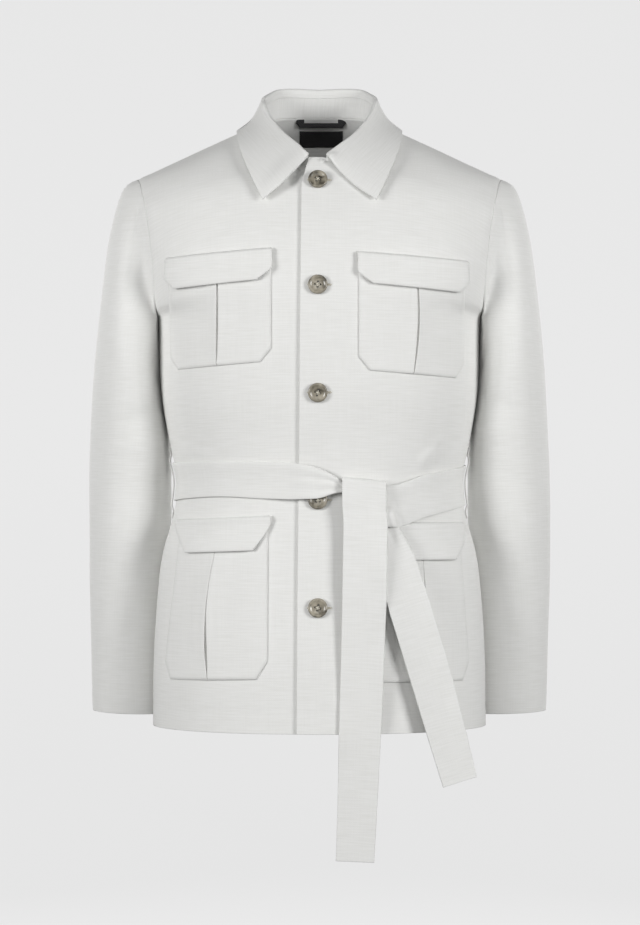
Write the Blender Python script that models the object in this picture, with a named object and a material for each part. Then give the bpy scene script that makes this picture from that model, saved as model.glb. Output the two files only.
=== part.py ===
"""A linen safari jacket, buttoned, belted and filled out as it is worn.

The jacket faces -Y, its wearer's left is +X and up is +Z. The origin is at the height of the
neck's side points, between the shoulders, where the wearer carries it. All sizes below are in
millimetres, and the meshes are made in metres.

Every cloth piece is a wall: a grid of points on its outer face, and a second grid one cloth
thickness further in. Pieces that are sewn together share the points of their seam, held a
seam gap apart.
"""
import math

import bmesh
import bpy
import numpy as np
from mathutils import Vector
from mathutils.bvhtree import BVHTree

# Driving dimensions, in millimetres

MM = 0.001
CLOTH = 2.0
SEAM_GAP = 0.3
LAY_GAP = 0.6

NECK_SIDE = (74.0, 4.0, -1.0)
SHOULDER_TIP = (222.0, 6.0, -69.0)
SHOULDER_SLOPE = (NECK_SIDE[2] - SHOULDER_TIP[2]) / (SHOULDER_TIP[0] - NECK_SIDE[0])

FRONT_EDGE_TOP = 21.0
FRONT_EDGE_HEM = 27.0
UNDERLAP = 24.0
LAP_STEP = 2.7
LAP_REACH = 78.0
LAP_STEEPNESS = 1.6

BUTTON_X = -2.0
TOP_BUTTON_HEIGHT = -80.0
BUTTON_SPACING = 126.4
BUTTON_COUNT = 5

BELT_CLOTH = 2.4

# Body sections. One row for each height, from the hem up to the shoulder seam. The centre is
# the middle of the front, and above the neck it follows the neckline. The seam is the side
# seam up to the underarm, and the armhole above it. Fullness is how far the section runs
# straight on from the centre, and reach is how far it runs straight into the seam. Turn is
# the way it heads there, in degrees round from +X towards the back, and drop is its slope.
# Columns: centre x, y and z, seam x, y and z, fullness, reach, turn, drop.

FRONT_SECTIONS = (
    (0, -128, -733, 202, -10, -733, 118, 66, 90, 0.00),
    (0, -124, -640, 200.5, -8, -640, 118, 66, 90, 0.00),
    (0, -114, -540, 193, -5, -540, 116, 62, 90, 0.00),
    (0, -106, -480, 178, -2, -480, 108, 58, 90, 0.00),
    (0, -102, -440, 170, 0, -440, 104, 56, 90, 0.00),
    (0, -106, -400, 178, 0, -400, 110, 58, 90, 0.00),
    (0, -116, -330, 190, 0, -330, 118, 66, 90, 0.00),
    (0, -119, -252, 190, 0, -252, 118, 66, 90, 0.00),
    (0, -117, -200, 194, -45, -226, 110, 50, 66, 0.12),
    (0, -110, -150, 200, -60, -178, 104, 50, 48, 0.20),
    (0, -88, -95, 207, -50, -123, 96, 56, 34, 0.24),
    (0, -65, -56, 213, -33, -95, 84, 60, 28, 0.34),
    (46, -47, -38, 218, -12, -76, 60, 56, 20, 0.40),
    (74, 4, -1, 222, 6, -69, 49, 49, 0.8, 0.46),
)

BACK_SECTIONS = (
    (0, 95, -733, 202, -10, -733, 112, 58, -90, 0.00),
    (0, 92, -640, 200.5, -8, -640, 112, 56, -90, 0.00),
    (0, 86, -540, 193, -5, -540, 108, 52, -90, 0.00),
    (0, 81, -480, 178, -2, -480, 100, 48, -90, 0.00),
    (0, 80, -440, 170, 0, -440, 96, 46, -90, 0.00),
    (0, 83, -400, 178, 0, -400, 100, 48, -90, 0.00),
    (0, 92, -330, 190, 0, -330, 106, 56, -90, 0.00),
    (0, 104, -252, 190, 0, -252, 108, 62, -90, 0.00),
    (0, 108, -180, 196, 50, -222, 108, 50, -52, 0.16),
    (0, 104, -110, 204, 68, -165, 108, 50, -34, 0.28),
    (0, 95, -58, 212, 58, -112, 104, 56, -20, 0.40),
    (0, 84, -18, 217, 42, -92, 92, 60, -14, 0.45),
    (0, 74, 2, 220, 24, -78, 78, 60, -8, 0.46),
    (0, 66, 15, 222, 6, -69, 66, 60, -2, 0.46),
)

SECTION_LEAN = 0.6
UNDERARM_ROW = 7.0
BACK_YOKE_ROW = 10.0
EDGE_TOP_ROW = 10.8
NECK_ROW = 11.0
TOP_ROW = 13.0
BODY_ROWS = (0, 0.5, 1, 1.5, 2, 2.5, 3, 3.5, 4, 4.5, 5, 5.5, 6, 6.5)
ARMHOLE_ROWS = (7, 7.6, 8.3, 9, 9.6, 10.2, 10.8, 11, 11.4, 11.8, 12.2, 12.6, 13)
NECK_PLACE = ARMHOLE_ROWS.index(NECK_ROW)

# Columns of the front and the half back, as shares of the way from the centre to the seam.
FRONT_SHARES = (0, 0.045, 0.09, 0.18, 0.29, 0.4, 0.51, 0.62, 0.73, 0.83, 0.92, 1)
BACK_SHARES = (0, 0.1, 0.2, 0.3, 0.4, 0.52, 0.64, 0.76, 0.88, 1)
BACK_NECK_SHARE = 0.4

# Front and back necklines, from the centre to the neck's side point: share, x, y and z.
FRONT_NECKLINE = (
    (0.0, 0, -65, -56),
    (0.25, 24, -61, -52),
    (0.5, 46, -47, -38),
    (0.75, 64, -23, -19),
    (1.0, 74, 4, -1),
)
BACK_NECKLINE = (
    (0.0, 0, 66, 15),
    (0.25, 26, 63, 14.5),
    (0.5, 49, 50, 12),
    (0.75, 66, 28, 6),
    (1.0, 74, 4, -1),
)

# Sleeve rings below the armhole. Outer and inner are the ring's ends across the arm, middle is
# how far back its middle lies and depth is half its front-to-back size. Blend is how much of
# the ring is still the armhole's own shape.
# Columns: outer x and z, inner x, y and z, middle, depth, blend.
SLEEVE_RINGS = (
    (237, -77, 190.9, 1, -257, 10, 66, 0.90),
    (245, -92, 192.0, 3, -264, 11, 68, 0.72),
    (252, -116, 193.6, 6, -274, 12, 71, 0.50),
    (259, -150, 195.0, 9, -288, 13, 73, 0.28),
    (266, -203, 195.5, 13, -308, 15, 74, 0.10),
    (272, -256, 193.0, 18, -342, 18, 72, 0.00),
    (277, -312, 188.5, 23, -384, 22, 67, 0.00),
    (281, -368, 185.0, 28, -428, 27, 62, 0.00),
    (283.7, -427, 184.5, 33, -470, 32, 58, 0.00),
    (284.5, -487, 185.0, 38, -515, 37, 55, 0.00),
    (284.5, -546, 186.0, 43, -562, 43, 52, 0.00),
    (284, -602, 187.0, 50, -612, 49, 50, 0.00),
    (283.2, -655, 187.0, 55, -660, 55, 48, 0.00),
    (282.6, -695, 186.0, 59, -697, 59, 47, 0.00),
    (282, -722, 185.0, 62, -725, 62, 46, 0.00),
)

# Collar sections, from the centre of the back to its front end. Share is the way round the
# neck seam, roll is the top of the fold and edge is the rim of the fall. Bulge pushes the
# middle of the fall outward and bow lowers it.
# Columns: share, roll x, y and z, edge x, y and z, bulge, bow.
COLLAR_SECTIONS = (
    (0.000, 0, 62, 48, 0, 88, -6, 1.0, 0),
    (0.240, 46, 50, 47, 60, 78, -9, 0.0, 0),
    (0.370, 60, 31, 38, 87, 46, -10, -3.0, 0),
    (0.475, 65.5, 12, 28, 101, 6, -9.2, -4.5, 0),
    (0.560, 60.5, -2, 10.5, 100, -22, -22, -3.0, 0),
    (0.660, 52, -17, -6, 94, -50, -43, -1.0, 0),
    (0.787, 38, -36, -23.5, 84, -74, -68, 1.0, 1),
    (0.920, 19, -53.5, -39.5, 73, -91, -92, 2.0, 3),
    (1.000, 8, -61.5, -47.5, 67, -97, -103.5, 3.0, 8),
)
STAND_TOP_BELOW_ROLL = 10.0
STAND_LEAST_SHARE = 0.5
COLLAR_END_LEFT = 7.0
COLLAR_END_RIGHT = 13.0
COLLAR_END_STEP = 3.0
RIGHT_END_FROM = 0.86
RIGHT_END_SHIFT = (4.8, 0.0, 1.5)
ROLL_RADIUS = 3.2
ROLL_SINK = 0.6
FALL_LEAD = 8.0
ROLL_ANGLES = (0.0, 50.0, 90.0, 130.0, 180.0)
FALL_SHARES = (0.18, 0.38, 0.6, 0.82, 1.0)

# Patch pockets and their flaps, as seen from the front. Inner and outer are the sides'
# distances from the centre of the jacket, top is at the inner side and fall is how much lower
# the outer side lies. The outer side runs from outer at the top to outer_end at the bottom,
# the pleat's slit runs from slit to slit_end, and sway bends it.
# Columns: side, inner, outer, outer_end, top, fall, height, slit, slit_end, sway.
POCKETS = {
    "chest_pocket_right": (-1, 57.0, 179.0, 177.0, -172.0, 9.0, 124.0, 120.5, 120.5, -1.5),
    "chest_pocket_left": (1, 46.0, 173.0, 171.0, -177.0, 9.0, 129.0, 113.0, 110.0, 4.0),
    "hip_pocket_right": (-1, 61.0, 166.0, 186.0, -493.0, 1.0, 178.0, 121.0, 133.0, 5.0),
    "hip_pocket_left": (1, 54.0, 167.0, 179.0, -493.0, 1.0, 180.0, 117.0, 125.0, 3.0),
}
# Columns: side, inner, outer, top, fall, height, corner width, corner height.
FLAPS = {
    "chest_flap_right": (-1, 55.5, 181.0, -162.5, 9.5, 37.0, 18.0, 14.0),
    "chest_flap_left": (1, 44.5, 175.0, -167.0, 9.0, 37.0, 18.0, 14.0),
    "hip_flap_right": (-1, 56.5, 170.0, -481.0, 2.0, 41.0, 19.0, 26.0),
    "hip_flap_left": (1, 50.0, 171.0, -483.0, 2.0, 41.0, 19.0, 26.0),
}
POCKET_CORNER_WIDTH = 13.0
OUTER_CORNER_SHARE = 0.7
FLAP_CORNER_CURVE = 1.3
POCKET_ROWS = (0.0, 0.14, 0.32, 0.5, 0.68, 0.88, 1.0)
FLAP_COLUMN_SHARES = (0.0, 0.12, 0.27, 0.42, 0.57, 0.7, 0.82, 0.92, 1.0)

# Flap section: the way down the flap, then how far its two faces stand off the front.
FLAP_SECTION = (
    (0.00, 0.4, 2.6),
    (0.07, 0.6, 4.9),
    (0.22, 3.2, 6.2),
    (0.45, 4.4, 7.0),
    (0.68, 5.0, 7.5),
    (0.86, 5.4, 7.9),
    (1.00, 5.8, 8.0),
)

PATCH_STAND = 2.7
PLEAT_LIFT = 1.9
PLEAT_HALF_WIDTH = 11.0
PLEAT_SHOULDER = 0.4
PLEAT_END = 0.08
POCKET_RIM_DROP = 0.5
SLIT_END_HALF_WIDTH = 0.5
SLIT_HALF_WIDTH = 1.7
SLIT_CURVE = 0.7
SLIT_FLOOR = 1.5

# The belt's way round the waist. Turn is 0 at the centre front, 0.25 at the wearer's right
# side seam, 0.5 at the centre back and 1 at the centre front again. Stand is the gap to the
# jacket under it. Columns: turn, centre height, width, stand.
BELT_STRETCHES = (
    (-0.026, -445.5, 9.0, 5.4),
    (-0.014, -441.0, 21.0, 5.6),
    (0.000, -439.5, 35.0, 5.8),
    (0.014, -437.5, 41.0, 5.6),
    (0.030, -436.8, 43.5, 2.4),
    (0.060, -436.0, 43.0, 0.9),
    (0.110, -434.8, 41.5, 0.7),
    (0.180, -436.6, 43.5, 0.7),
    (0.250, -438.4, 46.5, 0.7),
    (0.375, -440.0, 48.0, 0.7),
    (0.500, -440.0, 48.0, 0.7),
    (0.625, -440.5, 48.0, 0.7),
    (0.750, -442.5, 48.0, 0.7),
    (0.820, -447.0, 48.0, 0.8),
    (0.880, -455.0, 49.0, 2.0),
    (0.930, -466.6, 49.0, 5.0),
    (0.962, -466.5, 34.0, 5.2),
)
BELT_STEPS = 64
BELT_CROWDING = 0.09
BELT_ACROSS = (-0.5, -0.2, 0.2, 0.5)

# Belt ends: height, centre line and width. The front end is folded over the knot and hangs
# down, and the side end comes out from under the belt.
TAIL_FRONT = (
    (-484, 54.0, 52.0),
    (-510, 53.5, 52.0),
    (-540, 53.0, 52.0),
    (-580, 52.2, 51.8),
    (-620, 51.0, 51.0),
    (-660, 49.8, 50.5),
    (-700, 48.4, 50.0),
    (-740, 47.0, 49.0),
    (-790, 45.4, 47.5),
    (-840, 43.4, 46.0),
    (-882, 41.6, 45.0),
)
TAIL_SIDE = (
    (-474, 62.5, 50.0),
    (-486, 66.5, 50.0),
    (-505, 72.5, 50.0),
    (-530, 80.5, 50.0),
    (-565, 91.0, 50.0),
    (-600, 101.5, 50.0),
    (-640, 114.0, 50.0),
    (-680, 127.0, 48.5),
    (-715, 139.5, 46.5),
    (-750, 151.5, 44.5),
    (-790, 165.0, 41.5),
)
# The fold of the front end over the knot: stand-off from the front, and height.
KNOT_FOLD = (
    (2.6, -461.0),
    (2.6, -449.0),
    (3.8, -439.5),
    (8.2, -435.4),
    (12.6, -439.0),
    (14.6, -450.0),
    (15.4, -467.0),
)
KNOT_FRONT_ROW = 4
KNOT_X = 52.6
KNOT_WIDTH = 52.0
KNOT_SLOPE = 0.09
TAIL_COLUMNS = 5
TAIL_ROUNDS = 160
TAIL_SIDE_PULL = 0.3

LOOP_WIDTH = 9.0
LOOP_CLOTH = 1.6
# Belt loop at a side seam: height, and stand-off of its middle from the jacket.
LOOP_PATH = (
    (-397.0, 1.3),
    (-405.0, 1.3),
    (-410.0, 3.6),
    (-416.0, 5.4),
    (-440.0, 5.8),
    (-464.0, 5.4),
    (-470.0, 3.6),
    (-475.0, 1.3),
    (-483.0, 1.3),
)

TAPE_CLOTH = 1.2
TAPE_OUTER = 31.0
TAPE_INNER = 21.0
TAPE_TOP = 12.0
TAPE_BAR_TOP = 7.5
TAPE_BOTTOM = 1.5
TAPE_CORNER = 4.0
LABEL_WIDTH = 54.0
LABEL_TOP = -1.5
LABEL_BOTTOM = -20.5
LABEL_X = 2.0
LABEL_CLOTH = 1.0
LABEL_STEPS = 6

BUTTON_SIDES = 20
# Button profile from the middle of its back round to the middle of its front: distance from
# the axis and height.
BUTTON_PROFILE = (
    (8.5, 0.0),
    (11.0, 0.9),
    (11.5, 2.0),
    (11.0, 3.2),
    (9.7, 4.0),
    (8.3, 3.9),
    (7.2, 3.0),
    (4.0, 2.6),
)

# How a wall is settled on what lies under it.
SETTLE_ROUNDS = 10
SETTLE_SPOTS = (0.0, 0.25, 0.5, 0.75, 1.0)
SETTLE_SHARE = 0.2
SETTLE_DONE = 0.02
UNDER_REACH = 14.0
UNDER_FACING = 0.7

FINISHES = {
    "linen": ((0.76, 0.76, 0.745), 0.92),
    "horn": ((0.23, 0.20, 0.15), 0.35),
    "tape": ((0.014, 0.014, 0.014), 0.85),
}


# Small vector and curve helpers


def unit(vector):
    """The vector at length one."""
    return vector / max(np.linalg.norm(vector), 1e-9)


def smooth_table(table, at):
    """The row of a table at a value of its first column, on a smooth curve through its rows.

    A value that rises and then falls levels out at the row between, so the curve never
    runs past it.
    """
    rows = np.array(table, dtype=float)
    keys = rows[:, 0]
    values = rows[:, 1:]
    at = min(max(at, keys[0]), keys[-1])
    last = len(keys) - 1
    i = min(int(np.searchsorted(keys, at, side="right")) - 1, last - 1)
    slopes = []
    for k in (i, i + 1):
        before = max(k - 1, 0)
        after = min(k + 1, last)
        rise = (values[k] - values[before]) * (values[after] - values[k])
        mean = (values[after] - values[before]) / (keys[after] - keys[before])
        ends = k in (0, last)
        slopes.append(mean if ends else np.where(rise > 0, mean, 0.0))
    span = keys[i + 1] - keys[i]
    s = (at - keys[i]) / span
    blend = s * s * (3 - 2 * s)
    return (
        values[i] * (1 - blend)
        + values[i + 1] * blend
        + slopes[0] * span * s * (1 - s) ** 2
        - slopes[1] * span * s * s * (1 - s)
    )


def smooth_step(value):
    """0 below 0, 1 above 1, and a soft rise between them."""
    s = min(max(value, 0.0), 1.0)
    return s * s * (3 - 2 * s)


def bezier(points, t):
    """A point on a cubic curve from its four control points."""
    a, b, c, d = points
    r = 1 - t
    return a * r**3 + b * (3 * r * r * t) + c * (3 * r * t * t) + d * t**3


def solve(function, target, low, high):
    """Where a rising function reaches the target, found by halving."""
    for _ in range(40):
        middle = (low + high) / 2
        if function(middle) < target:
            low = middle
        else:
            high = middle
    return (low + high) / 2


# Body surfaces


def numbered(sections):
    """The sections with their row number in front, as smooth_table needs them."""
    return [(number, *row) for number, row in enumerate(sections)]


FRONT_TABLE = numbered(FRONT_SECTIONS)
BACK_TABLE = numbered(BACK_SECTIONS)


def section_controls(table, row):
    """The four control points of the body section at a row."""
    cx, cy, cz, sx, sy, sz, fullness, reach, turn, drop = smooth_table(table, row)
    heading = math.radians(turn)
    centre = np.array((cx, cy, cz))
    if table is FRONT_TABLE and row > NECK_ROW:
        centre = smooth_table(FRONT_NECKLINE, (row - NECK_ROW) / (TOP_ROW - NECK_ROW))
    seam = np.array((sx, sy, sz))
    lean = drop if cx > 1 else 0.0
    leave = np.array((fullness, 0.0, -fullness * lean * SECTION_LEAN))
    arrive = np.array((math.cos(heading), math.sin(heading), -drop)) * reach
    return centre, centre + leave, seam - arrive, seam


def straight_seam(share):
    """A point of the shoulder seam, from the neck's side point to the shoulder tip."""
    return np.array(NECK_SIDE) * (1 - share) + np.array(SHOULDER_TIP) * share


def front_surface(row, t):
    """A point of the left front's outer face. Below 0, t runs on past the centre."""
    if row >= TOP_ROW:
        return straight_seam(t)
    point = bezier(section_controls(FRONT_TABLE, row), abs(t))
    if t < 0:
        point[0] = -point[0]
    return point


def back_top(t):
    """A point of the back's top edge: the neckline, then the shoulder seam."""
    if t <= BACK_NECK_SHARE:
        return smooth_table(BACK_NECKLINE, t / BACK_NECK_SHARE)
    return straight_seam((t - BACK_NECK_SHARE) / (1 - BACK_NECK_SHARE))


def back_surface(row, t):
    """A point of the back's outer face, on the wearer's left."""
    point = bezier(section_controls(BACK_TABLE, row), t)
    rise = max((row - BACK_YOKE_ROW) / (TOP_ROW - BACK_YOKE_ROW), 0.0) ** 2
    if rise > 0:
        point = point + (back_top(t) - bezier(section_controls(BACK_TABLE, TOP_ROW), t)) * rise
    return point


def front_share_at(row, x):
    """How far along its section the front reaches a distance from the centre."""
    controls = section_controls(FRONT_TABLE, row)
    return solve(lambda t: bezier(controls, t)[0], x, 0.0, 1.0)


def front_edge(row, top, hem):
    """How far the front runs past the centre at a row."""
    share = min(max(row / EDGE_TOP_ROW, 0.0), 1.0)
    return hem + (top - hem) * share


def front_spot(x, z):
    """The front's outer point and normal seen at a place from the front, for x above 0."""
    row = 7.0
    t = 0.5
    step = 1e-3
    for _ in range(25):
        here = front_surface(row, t)
        by_row = (front_surface(row + step, t) - here) / step
        by_t = (front_surface(row, t + step) - here) / step
        matrix = np.array(((by_row[0], by_t[0]), (by_row[2], by_t[2])))
        miss = np.array((x - here[0], z - here[2]))
        if np.abs(miss).max() < 1e-3:
            break
        change = np.linalg.solve(matrix, miss)
        row = min(max(row + min(max(change[0], -0.8), 0.8), 0.0), 12.9)
        t = min(max(t + min(max(change[1], -0.2), 0.2), 0.0), 0.995)
    return here, unit(np.cross(by_t, by_row))


# Meshes


def finish(name):
    """The material of a finish, made once."""
    material = bpy.data.materials.get(name)
    if material is None:
        colour, roughness = FINISHES[name]
        material = bpy.data.materials.new(name)
        material.use_nodes = True
        shader = material.node_tree.nodes["Principled BSDF"]
        shader.inputs["Base Color"].default_value = (*colour, 1.0)
        shader.inputs["Roughness"].default_value = roughness
        shader.inputs["Metallic"].default_value = 0.0
        material.diffuse_color = (*colour, 1.0)
    return material


def add_object(name, points, faces, finish_name="linen"):
    """One named object from points in millimetres, with its faces turned outward."""
    mesh = bpy.data.meshes.new(name)
    mesh.from_pydata([tuple(float(v) * MM for v in point) for point in points], [], faces)
    work = bmesh.new()
    work.from_mesh(mesh)
    bmesh.ops.triangulate(work, faces=work.faces)
    bmesh.ops.recalc_face_normals(work, faces=work.faces)
    work.to_mesh(mesh)
    work.free()
    mesh.shade_smooth()
    mesh.set_sharp_from_angle(angle=math.radians(40))
    material = finish(finish_name).copy()
    material.name = name
    mesh.materials.append(material)
    item = bpy.data.objects.new(name, mesh)
    bpy.context.scene.collection.objects.link(item)
    return item


def grid_faces(rows, columns, closed=False):
    """The quads of a grid of points, row after row. A closed grid is a tube."""
    faces = []
    for i in range(rows - 1):
        for j in range(columns if closed else columns - 1):
            k = (j + 1) % columns
            faces.append((i * columns + j, i * columns + k, (i + 1) * columns + k, (i + 1) * columns + j))
    return faces


def point_normals(points, faces):
    """The mean normal of the faces round each point."""
    points = np.asarray(points, dtype=float)
    normals = np.zeros_like(points)
    for face in faces:
        a, b, c, d = (points[k] for k in face)
        normal = np.cross(c - a, d - b)
        for k in face:
            normals[k] += normal
    return np.array([unit(normal) for normal in normals])


def rim_edges(faces):
    """The directed edges that only one face has."""
    seen = {}
    for face in faces:
        for k in range(len(face)):
            edge = (face[k], face[(k + 1) % len(face)])
            seen[edge] = True
    return [edge for edge in seen if (edge[1], edge[0]) not in seen]


def add_wall(name, outer, inner, faces, finish_name="linen"):
    """A closed wall between two faces that have the same points and quads."""
    count = len(outer)
    sides = [tuple(reversed([count + k for k in face])) for face in faces]
    rims = [(b, a, count + a, count + b) for a, b in rim_edges(faces)]
    return add_object(name, [*outer, *inner], [*faces, *sides, *rims], finish_name)


def surface_tree(points, faces):
    """A search tree for the nearest place on a surface."""
    return BVHTree.FromPolygons([Vector(point) for point in points], faces)


class Under:
    """What a piece lies on: the outer faces of the pieces laid down so far."""

    def __init__(self):
        self.points = []
        self.faces = []
        self.tree = None

    def add(self, points, faces):
        """Lay down one more outer face."""
        start = len(self.points)
        self.points.extend(points)
        self.faces.extend(tuple(start + k for k in face) for face in faces)
        self.tree = surface_tree(self.points, self.faces)

    def front_depth(self, x, z, reach=4.0):
        """How far forward the pieces come within reach of a place seen from the front."""
        depth = None
        for dx in (-reach, 0.0, reach):
            for dz in (-reach, 0.0, reach):
                start = Vector((x + dx, -400.0, z + dz))
                hit = self.tree.ray_cast(start, Vector((0.0, 1.0, 0.0)), 399.0)[0]
                if hit is not None and (depth is None or hit.y < depth):
                    depth = hit.y
        return depth

    def gap_at(self, point):
        """How far a point stands off what it lies on. Below 0 it is inside.

        A point that lies past an open edge isn't inside, so it gives its plain distance.
        """
        place, normal, _, distance = self.tree.find_nearest(Vector(point))
        gap = (Vector(point) - place).dot(normal)
        if distance > UNDER_REACH or abs(gap) < distance * UNDER_FACING:
            return distance
        return gap


def settle(inner, outer, faces, under, gap, held=()):
    """Move a wall out until all of its inner face stands a gap off what it lies on.

    Each quad is tried at a grid of spots, and where one is too near, the quad's corners
    move out along the wall. Points in held stay where they are.
    """
    ways = np.array([unit(b - a) for a, b in zip(inner, outer)])
    for _ in range(SETTLE_ROUNDS):
        push = np.zeros(len(inner))
        for face in faces:
            a, b, c, d = (inner[k] for k in face)
            for u in SETTLE_SPOTS:
                for v in SETTLE_SPOTS:
                    weights = ((1 - u) * (1 - v), u * (1 - v), u * v, (1 - u) * v)
                    spot = a * weights[0] + b * weights[1] + c * weights[2] + d * weights[3]
                    miss = gap - under.gap_at(spot)
                    if miss > 0:
                        for k, weight in zip(face, weights):
                            if weight > SETTLE_SHARE:
                                push[k] = max(push[k], miss)
        for k in held:
            push[k] = 0.0
        if push.max() < SETTLE_DONE:
            break
        inner = inner + ways * push[:, None]
        outer = outer + ways * push[:, None]
    return inner, outer


# The body panels


def lap_drop(x):
    """How far the right front steps in at a distance from the centre, to pass under the left."""
    return LAP_STEP * smooth_step((LAP_REACH - x) / LAP_REACH * LAP_STEEPNESS)


def front_grid(side):
    """Outer points of one front, row after row. Side is 1 for the wearer's left."""
    points = []
    for row in (*BODY_ROWS, *ARMHOLE_ROWS):
        past = 0.0
        if row <= EDGE_TOP_ROW:
            top, hem = (FRONT_EDGE_TOP, FRONT_EDGE_HEM) if side > 0 else (UNDERLAP, UNDERLAP)
            past = front_share_at(row, front_edge(row, top, hem))
        for share in FRONT_SHARES:
            points.append(front_surface(row, share * (1 + past) - past))
    points = np.array(points)
    faces = grid_faces(len(BODY_ROWS) + len(ARMHOLE_ROWS), len(FRONT_SHARES))
    if side < 0:
        normals = point_normals(points, faces)
        for k, point in enumerate(points):
            points[k] = point - normals[k] * lap_drop(point[0])
    return points, faces


def back_grid():
    """Outer points of the back's left half, row after row."""
    rows = (*BODY_ROWS, *ARMHOLE_ROWS)
    points = np.array([back_surface(row, share) for row in rows for share in BACK_SHARES])
    return points, grid_faces(len(rows), len(BACK_SHARES))


def sleeve_rings(armhole):
    """Outer points of a left sleeve: rings from the armhole down to the cuff."""
    count = len(armhole)
    half = count // 2
    rings = [armhole]
    for outer_x, outer_z, inner_x, inner_y, inner_z, back, depth, blend in SLEEVE_RINGS:
        outer = np.array((outer_x, back, outer_z))
        inner = np.array((inner_x, inner_y, inner_z))
        centre = (outer + inner) / 2
        across = (outer - inner) / 2
        deep = np.array((0.0, back - centre[1], 0.0))
        ring = []
        for k in range(count):
            angle = math.pi * (1 - k / half)
            round_point = (
                centre
                + across * math.cos(angle)
                + np.array((0.0, -depth, 0.0)) * math.sin(angle)
                + deep * abs(math.sin(angle))
            )
            share = (1 - math.cos(angle)) / 2
            own = armhole[k] + (outer - armhole[half]) * (1 - share) + (inner - armhole[0]) * share
            ring.append(round_point * (1 - blend) + own * blend)
        rings.append(np.array(ring))
    return rings


def seam_directions(edge, panel_normals, panel_ways, other_normals, other_ways):
    """Along a seam, the shared outward direction and the way across to the second piece."""
    count = len(edge)
    outward = []
    across = []
    for k in range(count):
        way = panel_ways[k] + other_ways[k]
        direction = unit(panel_normals[k] + other_normals[k] + way)
        tangent = unit(edge[(k + 1) % count] - edge[k - 1])
        step = unit(np.cross(tangent, direction))
        if step[0] < 0:
            step = -step
        outward.append(direction)
        across.append(step)
    return np.array(outward), np.array(across)


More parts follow.
